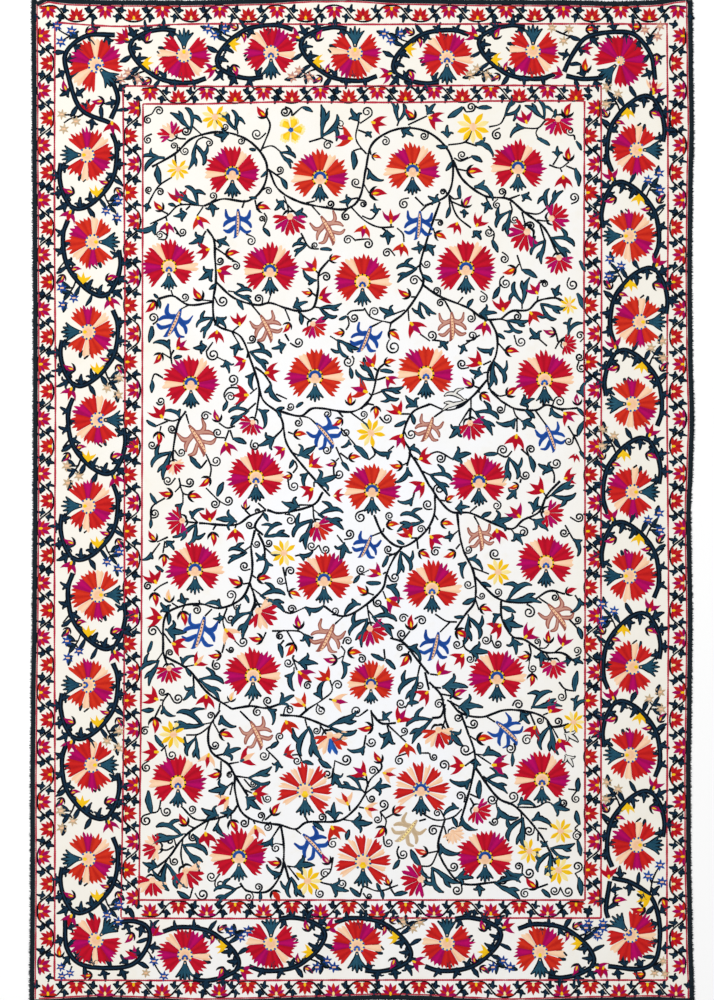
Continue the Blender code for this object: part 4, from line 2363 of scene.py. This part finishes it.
PEPPERS = """
238 209 -92 28 bp
420 211 -95 28 bp
321 216 -62 30 np
181 309 -116 31 bp
260.5 315 -64 28 np
371 326 -112 28 bp
451.5 312 -88 28 np
189 425 -59 33 np
316 423 -51 29 bp
371.5 535 -115 25 bp
433 417 -110 26 np
546 425 -70 27 bp
478.5 525 -80 25 np
204.5 616.5 -106 33 bp
334 624 -117 31 np
548 604 -52 30 np
438.5 632 -104 29 bp
250.5 721 -65 29 np
303 834 -47 29 bp
417 820 230 29 ts
496 721.5 -43 30 bp
"""
DAISIES = """
215 117 -90 13
178 169 -95 11
473 127 -90 16
569 305 190 9
371 433 135 14
284 553 180 13
498 572 0 13
173.5 734.5 180 14
307.5 881 0 14
573.5 722 0 11
560.5 831 0 12
529.5 851 225 12
558.5 870 -50 14
"""

# %% [markdown]
# ## Working the field
# The tables are worked one after another. The work is parted into upper, middle and lower areas,
# so that no mesh grows too large to open.

# %% Place the motifs of the field
UPPER_END = 350
MIDDLE_END = 620


def field_area(v):
    """The name of the field's area at a place down the drafting sheet."""
    return "field_upper" if v < UPPER_END else "field_middle" if v < MIDDLE_END else "field_lower"


def read_lines(text):
    """Lines of chain stitch, one for each line of text, by the places where they turn."""
    return [np.array(line.split(), float).reshape(-1, 2) for line in filter(None, text.splitlines())]


VINE_LINE = 2.9
STALK_LINE = 2.2
TENDRIL_LINE = 2.05
TENDRIL_CROWN = 0.6
for width, table in ((VINE_LINE, VINES), (STALK_LINE, STALKS)):
    for points in read_lines(table):
        chain_line(work(field_area(points[0][1]), "navy"), points, width)
for row in read_rows("u v curl_u curl_v radius", TENDRILS):
    chain_line(work(field_area(row.v), "navy"), spiral_points(row), TENDRIL_LINE, TENDRIL_CROWN)
for row in read_rows("kind u v aim size turn", LEAVES):
    add_leaf(field_area(row.v), row)
for row in read_rows("kind u v aim size turn", BARE_LEAVES):
    add_leaf(field_area(row.v), row, "ivory")
for row in read_rows("u v aim size dyes", TULIPS):
    add_tulip(field_area(row.v), row)
for row in read_rows("u v aim size dyes", BUDS):
    add_bud(field_area(row.v), row)
for row in read_rows("u v aim size fan dye heart turn", ROSETTES):
    add_rosette(field_area(row.v), row)
for row in read_rows("u v aim size dyes", HALF_ROSETTES):
    add_half_rosette(field_area(row.v), row)
for row in read_rows("u v aim size dyes", PEPPERS):
    add_pepper(field_area(row.v), row)
for row in read_rows("u v aim size", DAISIES):
    add_daisy(field_area(row.v), row)
PANSY = Place(291, 130, 180, 15)
add_pansy(field_area(PANSY.v), PANSY)
print("points of work so far:", sum(item.count for item in works.values()))

# %% [markdown]
# ## The main border
# A thick double vine runs round the cloth between two guard bands. It swings round a rosette in
# every cell, first on one side and then on the other. One cell is described once, from its rosette,
# and then worked round the four sides. Its first number runs away from the calyx, its second
# toward the end where the vine closes round the flower.

# %% One cell of the border
TOP_END = 110
BOTTOM_START = 895
VINE_WIDTH = 5.4
VINE_CORE = 2.0
# The top and bottom borders are a little narrower than the sides, so their sprigs are held in
NARROWER = 0.93
SPRIG_REACH = 26
CELL_REACH = 40
VINE_STEP = 1.6
CELL_RADIUS = 27
CELL_ARMS = [
    [(-26, 8), (-27.5, 22), (-24, 38), (-17, 51)],
    [(25, -22), (29.5, -9), (29.5, 7), (26, 23), (17, 37), (4, 49), (-8, 54), (-17, 51)],
]
CELL_STEMS = """
17 38 20 46 26 54 30 60
20 46 27 46 31 46
22 50 20 53
-22 42 -16 38 -12 38
22 32 17 28
27 18 32 24 35 28
5 48 8 43 8 40
-27 14 -31 20
-18 50 -16 54
0 14 1 22 -4 27
"""
CELL_STARS = "31 46 6 19 56 5.5 30 63 6"
CELL_LEAVES = """
ivy -22 44 40 11
ivy -27 14 20 11
ivy -27 22 165 13 -1
ivy -24 36 200 13
ivy -19 48 215 14
ivy 28 -8 20 11
ivy 28 0 205 9
ivy 28 10 10 12
ivy 27 18 215 11 -1
lens 22 32 200 9
lens 26 24 -35 13
lens 13 44 -60 13
lens 22 50 5 11
lens 29 58 130 11
lens 23 46 40 11
lens 27 60 -75 11
ivy 6 49 110 13
ivy -6 54 100 12
lens 1 53 -60 13
lens 30 34 -50 10
lens -14 52 -100 10
lens -8 26 75 8
"""
CELL_BUDS = """
-13 38 160 12 my
22 28 170 10 my
29 33 -60 10 my
"""
CELL_TULIPS = """
-16 55 -110 13 rmy
10 42 95 11 yyy
"""

# Rosettes of the four sides: place, aim of the calyx, aim of the closing end, star dye, heart, dye
CELLS = """
184 55 90 180 n seed r
271 53 270 180 b flower r
355 53 90 180 n seed c
447 58 270 180 b flower c
533 51 90 180 t seed c
87 155 180 270 b seed c
93 242 0 270 b seed o
88 332 180 270 t seed o
98 420 0 270 t flower c
88 506 180 270 b seed c
98 595 0 270 b seed o
88 685 180 270 t flower o
92 765 0 270 t seed c
88 859 180 270 b seed o
185 955 270 0 b flower r
271 943 90 0 b seed r
357 946 270 0 t flower c
447 943 90 0 b seed c
540 952 270 0 b seed o
637 150 0 90 t seed c
629 236 180 90 b seed o
640 322 0 90 b seed o
632 404 180 90 t seed o
633 492 0 90 t seed c
629 576 180 90 b seed c
633 667 0 90 b seed c
630 755 180 90 t seed c
637 845 0 90 t seed c
"""
CORNERS = """
96 65 315 28 corner_left c flower
620 61 225 27.5 corner r seed
96 940 45 27 border r seed
631 935 135 27 border c flower
"""


class Cell:
    """A border cell's own directions, to put the places and aims of one cell on the sheet."""

    def __init__(self, row):
        self.row = row
        calyx, closing = math.radians(row.calyx), math.radians(row.closing)
        self.away = np.array([-math.cos(calyx), math.sin(calyx)])
        self.ahead = np.array([math.cos(closing), -math.sin(closing)])
        if row.closing in (0, 180):
            self.away *= NARROWER
        self.reach = SPRIG_REACH if row.closing in (0, 180) else CELL_REACH
        self.turn = 1 if self.away[0] * -self.ahead[1] + self.away[1] * self.ahead[0] > 0 else -1

    def place(self, points):
        points = np.asarray(points, float)
        return (self.row.u, self.row.v) + points[..., :1] * self.away + points[..., 1:2] * self.ahead

    def place_within(self, points):
        """Places kept clear of the red lines beside a narrow cell."""
        points = np.array(points, float)
        points[..., 0] = points[..., 0].clip(-self.reach, self.reach)
        return self.place(points)

    def aim(self, degrees):
        """An aim counted from the way away from the calyx toward the closing end."""
        angle = math.radians(degrees)
        ahead = math.cos(angle) * self.away + math.sin(angle) * self.ahead
        return math.degrees(math.atan2(-ahead[1], ahead[0]))

    def rows(self, names, text):
        """Table rows of the cell, put on the sheet."""
        moved = []
        for row in read_rows(names, text):
            u, v = self.place_within([row.u, row.v])
            moved.append(row._replace(u=u, v=v, aim=self.aim(-row.aim)))
        return moved


def border_area(u, v):
    """The name of the border's side at a place on the drafting sheet."""
    if v < TOP_END:
        return "border_top"
    if v > BOTTOM_START:
        return "border_bottom"
    return "border_left" if u < SHEET_WIDTH / 2 else "border_right"


def vine(area, points):
    """The thick border vine: navy with a raised core of indigo."""
    route = smooth_route(points, VINE_STEP)
    sweep(work(area, "navy"), route, np.full(len(route), VINE_WIDTH / 2), 0.7)
    sweep(work(area, "indigo"), route, np.full(len(route), VINE_CORE / 2), 0.95, root=0.5, dome=DOME_3)


Rosette = namedtuple("Rosette", "u v aim size fan dye heart turn")
for row in read_rows("u v calyx closing star heart dye", CELLS):
    cell = Cell(row)
    area = border_area(row.u, row.v)
    for arm in CELL_ARMS:
        vine(area, cell.place(arm))
    for points in read_lines(CELL_STEMS):
        chain_line(work(area, "navy"), cell.place_within(points), STALK_LINE)
    for leaf in cell.rows("kind u v aim size turn", CELL_LEAVES):
        add_leaf(area, leaf, "indigo")
    for bud in cell.rows("u v aim size dyes", CELL_BUDS):
        add_bud(area, bud)
    for tulip in cell.rows("u v aim size dyes", CELL_TULIPS):
        add_tulip(area, tulip)
    stars = np.array([float(word) for word in CELL_STARS.split()]).reshape(-1, 3)
    for across, along, size in stars:
        add_star(area, *cell.place_within([across, along]), size, SHORT_DYES[row.star])
    add_rosette(area, Rosette(row.u, row.v, row.calyx, CELL_RADIUS, "border", row.dye, row.heart, 1))
for row in read_rows("u v aim size fan dye heart turn", CORNERS):
    add_rosette(border_area(row.u, row.v), row)

# %% [markdown]
# ## The corners
# At each corner the border has to turn, and the maker drew that part freely. So the vine, its
# sprigs and the flowers there are placed one by one, and not from the cell.

# %% The vine round the corners
CORNER_VINES = """
115 35 86 36 66 53 68 75 81 109 110 123
113 82 118 100 111 119
655 80 651 55 635 35 615 32 593 35 582 41 571 57 564 72
603 78 583 79 566 76
65 920 67 948 81 964 107 968 133 964 148 945 148 928 133 921 116 923
612 878 632 883 651 897 659 920 659 948 652 964 636 969 608 966
610 881 606 907 608 918
"""
CORNER_LEAF_PITCH = 9.0
CORNER_LEAF_SIZE = 12.5
for points in read_lines(CORNER_VINES):
    area = border_area(*points[0])
    vine(area, points)
    route = smooth_route(points, CORNER_LEAF_PITCH)
    ways = sideways(route)
    for number in range(1, len(route) - 1):
        side = 1 if number % 2 else -1
        out = ways[number] * side
        aim = math.degrees(math.atan2(-out[1], out[0])) + 25
        kind = "ivy" if number % 3 else "lens"
        leaf = Spot(kind, *(route[number] + out * VINE_WIDTH * 0.3), aim, CORNER_LEAF_SIZE, 1)
        add_leaf(area, leaf, "indigo")

# %% Sprigs, buds and small flowers of the corners
CORNER_SPRIGS = """
79 38 70 36 62 32 58 29
70 36 63 40
85 113 78 117 70 119 64 123
78 117 70 115 64 115
646 41 651 35 657 28
580 40 563 34 552 29
563 34 569 30
570 37 564 41
650 36 646 31
650 895 652 882 655 874 659 867
652 884 650 879
653 882 660 882
652 961 658 968 663 973
578 948 585 937 597 929
585 937 588 925
597 929 603 924
66 962 64 967 61 968
72 966 70 972
147 950 152 957 154 961
150 955 158 970 163 976
655 964 661 962
655 964 655 970
"""
CORNER_STARS = """
57 26 6 b
71.5 31 6 b
61 42 6 b
62 114.5 5.5 t
76 121.5 5.5 t
64 129 5.5 t
645 30 5.5 n
657.5 36.5 5.5 n
660 26 5.5 n
552 28 5.5 t
569 29 5.5 t
563.5 41 5.5 t
660 865 6 b
648 876 6 b
662 882 6 b
663 961 5 t
654.5 973 5 t
665 974 5 t
588.5 923 5.5 b
603 923 5.5 b
598 936 5.5 b
61 967 5 b
70 973 5 b
62 976 5 b
154 961 5.5 b
164 976 5.5 b
146 973 5 t
"""
CORNER_BUDS = """
86 33 20 12 my
104 101 185 12 my
67 92 110 12 my
641 27 175 13 ry
657 54 265 12 my
645 910 178 14 ry
613 901 8 13 my
662 898 290 13 ry
645 974 180 12 oy
586 30 5 11 ry
586 72 95 13 oy
133 933 235 12 my
92 975 -175 11 ry
60 957 95 11 oy
"""
CORNER_TULIPS = """
128 41 140 14 rro
90.5 113 105 13 oro
112 121 -88 14 mry
653 92 85 13 rpy
651 896 200 15 yyy
609 879 95 14 rry
582 49 5 11 rmr
563 75 165 11 rmr
604 966 250 12 rmy
137 958 145 13 rmr
153 936 55 12 rmr
"""
for points in read_lines(CORNER_SPRIGS):
    chain_line(work(border_area(*points[0]), "navy"), points, STALK_LINE)
for row in read_rows("u v size dye", CORNER_STARS):
    add_star(border_area(row.u, row.v), row.u, row.v, row.size, SHORT_DYES[row.dye])
for row in read_rows("u v aim size dyes", CORNER_BUDS):
    add_bud(border_area(row.u, row.v), row)
for row in read_rows("u v aim size dyes", CORNER_TULIPS):
    add_tulip(border_area(row.u, row.v), row)

# %% [markdown]
# ## Guard bands
# Inside and outside the main border runs a narrow band: a stepping vine with a small
# flower in each step, facing in and out by turns, and pointed leaves in the corners of the steps.
# They are set out along each side with an even pitch, as a maker would space them.

# %% Work the guard bands
FLOWER_REACH = 11.8
BASE_DEPTH = 6.6
GUARD_PETALS = 7
GUARD_PETAL = [(0.1, 0, 0.09), (0.45, 0, 0.19), (0.72, 0, 0.15), (1, 0, 0)]
GUARD_HEEL = [(-0.3, 0, 0.3), (0.4, 0, 0.55), (0.9, 0, 0.1)]
GUARD_LINE = 2.4
GUARD_STEP = 0.27
GUARD_LEAF = 9.2
GUARD_DYES = [("orange", "magenta"), ("crimson", "orange"), ("magenta", "orange"), ("orange", "crimson")]


def guard_flower(area, u, v, aim, dyes, heel):
    """A small palmette of seven petals, in two dyes by turns, on its heel."""
    angle = math.radians(aim)
    base = (u - 5.5 * math.cos(angle), v + 5.5 * math.sin(angle))
    for number in range(GUARD_PETALS):
        reach = FLOWER_REACH * (1 if number in (2, 3, 4) else 0.8)
        spread = Place(*base, aim - 90 + 180 / (GUARD_PETALS - 1) * number, reach)
        petal(area, dyes[number % 2], from_root(spread, GUARD_PETAL))
    petal(area, heel, from_root(Place(*base, aim, 3.4), GUARD_HEEL), TOP_CROWN, TOP_ROOT)


def guard_band(area, start, end, count, outward, first):
    """A band of flowers between two places. outward is the aim of its outer side in degrees."""
    start, end = np.array(start, float), np.array(end, float)
    along = (end - start) / (count - 1)
    pitch = math.hypot(*along)
    ahead = along / pitch
    out = np.array([math.cos(math.radians(outward)), -math.sin(math.radians(outward))])
    route = []
    for number in range(count):
        side = first if number % 2 == 0 else -first
        place = start + along * number
        facing = outward if side > 0 else outward + 180
        guard_flower(area, *place, facing, GUARD_DYES[number % 4], "straw" if number % 3 else "yellow")
        for step in (-GUARD_STEP, GUARD_STEP):
            route.append(place + ahead * step * pitch - out * side * BASE_DEPTH)
            leaf_place = place + ahead * math.copysign(pitch / 2 - 2.2, step)
            add_leaf(area, Spot("ivy", *leaf_place, facing, GUARD_LEAF, 1), "indigo")
    chain_line(work(area, "navy"), route, GUARD_LINE)


guard_band("border_top", (48, 13.5), (678, 13.5), 23, 90, -1)
guard_band("border_bottom", (48, 989), (676, 989), 23, 270, -1)
guard_band("border_left", (45.5, 36), (45.5, 966), 35, 180, -1)
guard_band("border_right", (678, 36), (678, 966), 35, 0, -1)
guard_band("border_top", (150, 95.5), (576, 93.5), 16, 90, -1)
guard_band("border_bottom", (150, 909), (576, 909), 16, 270, -1)
guard_band("border_left", (132.5, 108), (131, 898), 29, 180, 1)
guard_band("border_right", (592.5, 108), (592.5, 898), 29, 0, -1)

# %% [markdown]
# ## Red lines
# Every band is bounded by a line of madder-red chain stitch. The outermost follows the
# wandering edge of the cloth, so it is laid from the model's own outline.

# %% Work the red lines
RED_LINES = """
55 23 54.5 200 55.5 400 54.5 600 55 800 54.5 980
667 24 668 200 667 400 668.5 600 667 800 667 980
55 22.5 120 26.5 200 24 357 24.5 500 24 668 24
54.5 980 200 980.5 357 980 520 980 667 980
123 86 125 300 124.5 500 124 700 121 917
143 104 142.5 300 142 500 141 700 139 900
584.5 101 584 300 585 500 585 700 585 900
601 86 601.5 300 601 500 601 700 601 918
123 86 250 86.5 400 86 500 85.5 601 86
143 104 200 104 285 102 400 102.5 500 101 584 101
139 900 250 900 400 900 500 900 585 900
121 918 250 918.5 400 918 500 918 601 918
"""
RED_LINE = 2.3
for points in read_lines(RED_LINES):
    chain_line(work("lines", "red"), points, RED_LINE)


def from_cloth(x, y):
    """Places on the cloth in metres, back in drafting units."""
    return np.column_stack([(x - FIRST_SEAM_X) / UNIT + FIRST_SEAM_U, (CLOTH_TOP_Y - y) / UNIT + CLOTH_TOP_V])


EDGE_INSET = 3.6 * MM
EDGE_LINE = 1.9
line_x = np.linspace(left_edge(0) + EDGE_INSET, right_edge(0) - EDGE_INSET, 130)
line_y = np.linspace(cloth_low[1] + EDGE_INSET, cloth_high[1] - EDGE_INSET, 190)
for x, y in (
    (line_x, top_edge(line_x) - EDGE_INSET),
    (line_x, bottom_edge(line_x) + EDGE_INSET),
    (left_edge(line_y) + EDGE_INSET, line_y),
    (right_edge(line_y) - EDGE_INSET, line_y),
):
    chain_line(work("lines", "red"), from_cloth(x, y), EDGE_LINE)

# %% [markdown]
# ## Finishing the silk
# The motifs gathered so far now become objects, one for each dye in each area.

# %% Finish every mesh of silk
for item in works.values():
    piece = item.finish()
    print(piece.name, 2 * len(piece.data.polygons), "triangles")

# %% [markdown]
# ## The cotton
# Each narrow length is a thin sheet on the puckered face, from seam to seam. It is modelled as an
# open grid with a little thickness given by a Solidify modifier, which keeps its shape editable.

# %% The six lengths
COTTON_THICKNESS = 0.6 * MM
COTTON_STEP = 20 * MM
POINTS_ACROSS = 16


def grid_faces(deep, wide):
    """Faces of a grid of points given row by row."""
    index = np.arange(deep * wide).reshape(deep, wide)
    return np.stack(
        [index[:-1, :-1], index[:-1, 1:], index[1:, 1:], index[1:, :-1]], axis=-1
    ).reshape(-1, 4)


def thicken(piece, thickness):
    """Give an open sheet its thickness, downward from its face."""
    solid = piece.modifiers.new("thickness", "SOLIDIFY")
    solid.thickness = thickness
    solid.offset = -1


seams = [float(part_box(name)[0][0]) for name in PANELS[1:]]
for number, name in enumerate(PANELS):
    across = np.linspace(0, 1, POINTS_ACROSS)
    down = np.linspace(0, 1, int(SHEET_HEIGHT * UNIT / COTTON_STEP))
    low_x = seams[number - 1] if number else None
    high_x = seams[number] if number < len(seams) else None
    middle_y = cloth_low[1] + (cloth_high[1] - cloth_low[1]) * down
    left = np.full(len(down), low_x) if number else left_edge(middle_y)
    right = np.full(len(down), high_x) if number < len(seams) else right_edge(middle_y)
    x = left[:, None] + (right - left)[:, None] * across
    y = bottom_edge(x) + (top_edge(x) - bottom_edge(x)) * down[:, None]
    points = np.stack([x, y, cloth_height(x, y)], axis=-1).reshape(-1, 3)
    faces = grid_faces(*x.shape)
    length = make_piece("cotton_length_%d" % (number + 1), points, faces, karbos)
    length.data.shade_flat()
    thicken(length, COTTON_THICKNESS)
    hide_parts(name)
print("lengths:", len(PANELS))

# %% [markdown]
# ## The edging
# A dark woven tape is sewn round the cloth, and its outer edge is cut into a short fringe. The
# tape is a thin strip, and the fringe a few thousand short threads of uneven length.

# %% Tape and fringe of each side
TAPE_WIDTH = 9.5 * MM
TAPE_LAP = 1.2 * MM
THREAD_PITCH = 2.2 * MM
THREAD_WIDTH = 2.0 * MM
THREAD_LENGTHS = (1.5 * MM, 5.5 * MM)
THREAD_SWAY = 1.2
THREAD_LIFTS = (0.5, 1.7)
TAPE_THICKNESS = 0.6 * MM
TAPE_RISE = 0.25 * MM
SIDE_STEPS = 160
# Shares of a thread's length, with half its width there
THREAD_TAPER = ((0, 0.5), (0.6, 0.42), (1, 0.16))
dice = random.Random(29)


def side_points(name, steps):
    """Points along one side of the cloth, from one end to the other, and the way outward."""
    share = np.linspace(0, 1, steps + 1)
    if name in ("top", "bottom"):
        x = cloth_low[0] + (cloth_high[0] - cloth_low[0]) * share
        y = top_edge(x) if name == "top" else bottom_edge(x)
        return np.column_stack([x, y]), np.array([0.0, 1.0 if name == "top" else -1.0])
    y = cloth_low[1] + (cloth_high[1] - cloth_low[1]) * share
    x = left_edge(y) if name == "left" else right_edge(y)
    return np.column_stack([x, y]), np.array([1.0 if name == "right" else -1.0, 0.0])


def make_edging(name):
    """The tape of one side as a sheet, with its fringe as a piece of its own."""
    line, out = side_points(name, SIDE_STEPS)
    reach = np.array([-TAPE_LAP, TAPE_WIDTH / 2, TAPE_WIDTH])
    places = line[:, None, :] + out * reach[:, None]
    height = cloth_height(places[..., 0], places[..., 1]) + TAPE_RISE
    points = np.dstack([places, height]).reshape(-1, 3)
    faces = grid_faces(len(line), 3)
    if name in ("left", "bottom"):
        faces = faces[:, ::-1]
    tape = make_piece("edging_tape_" + name, points, faces, tape_look)
    thicken(tape, TAPE_THICKNESS)
    length = float(np.hypot(*np.diff(line, axis=0).T).sum())
    count = int(length / THREAD_PITCH)
    thread_line, _ = side_points(name, count)
    sideways_way = np.array([out[1], out[0]])
    fringe_points = []
    for place in thread_line:
        root = place + out * (TAPE_WIDTH - 1.0 * MM)
        lean = dice.uniform(-THREAD_SWAY, THREAD_SWAY) * MM
        size = dice.uniform(*THREAD_LENGTHS)
        lift = dice.uniform(*THREAD_LIFTS) * MM
        for share, half in THREAD_TAPER:
            middle = root + out * size * share + sideways_way * lean * share
            base = cloth_height(middle[0], middle[1]) * 0.6 + lift * 0.3
            for side, rise in ((-1, 0), (0, 0.3), (1, 0)):
                spot = middle + sideways_way * side * half * THREAD_WIDTH
                fringe_points.append((spot[0], spot[1], base + rise * MM))
    single = grid_faces(3, 3)
    fringe_faces = np.concatenate([single + 9 * number for number in range(len(thread_line))])
    fringe = make_piece(
        "edging_fringe_" + name, np.array(fringe_points), fringe_faces, tape_look
    )
    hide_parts("edging_" + name)
    return fringe


for name in ("left", "right", "top", "bottom"):
    fringe = make_edging(name)
    print(fringe.name, len(fringe.data.polygons), "faces")

# %% [markdown]
# ## Surface, light and camera
# The cloth is shown from straight above on a white surface, in even light, as a flat textile is
# photographed. A broad lamp from the upper left gives the stitches their slight relief.

# %% Set the stage
bpy.ops.mesh.primitive_plane_add(size=30)
surface = bpy.context.object
surface.name = "white_surface"
surface.location.z = -0.5 * MM
white, _, white_shader = new_material("matt_white_surface")
white_shader.inputs["Base Color"].default_value = linear("FDFDFD")
white_shader.inputs["Roughness"].default_value = 0.95
surface.data.materials.append(white)

ROOM_LIGHT = 0.69
LAMP_WATTS = 105
world = bpy.data.worlds.new("even_room")
bpy.context.scene.world = world
world.use_nodes = True
world.node_tree.nodes["Background"].inputs["Color"].default_value = linear("FFFFFF")
world.node_tree.nodes["Background"].inputs["Strength"].default_value = ROOM_LIGHT

lamp_data = bpy.data.lights.new("broad_lamp", "AREA")
lamp_data.shape = "RECTANGLE"
lamp_data.size = 3.0
lamp_data.size_y = 3.0
lamp_data.energy = LAMP_WATTS
lamp = bpy.data.objects.new("broad_lamp", lamp_data)
bpy.context.collection.objects.link(lamp)
lamp.location = (-1.5, 1.4, 4.0)
aim_at = -lamp.location.normalized()
lamp.rotation_euler = aim_at.to_track_quat("-Z", "Y").to_euler()

CAMERA_HEIGHT = 9.0
camera_data = bpy.data.cameras.new("overhead_camera")
camera_data.sensor_width = 36
camera_data.lens = 36 * CAMERA_HEIGHT / (SHEET_HEIGHT * UNIT)
camera = bpy.data.objects.new("overhead_camera", camera_data)
bpy.context.collection.objects.link(camera)
centre_x, centre_y = to_cloth([SHEET_WIDTH / 2, SHEET_HEIGHT / 2])
camera.location = (centre_x, centre_y, CAMERA_HEIGHT)
bpy.context.scene.camera = camera
bpy.context.scene.view_settings.view_transform = "Standard"
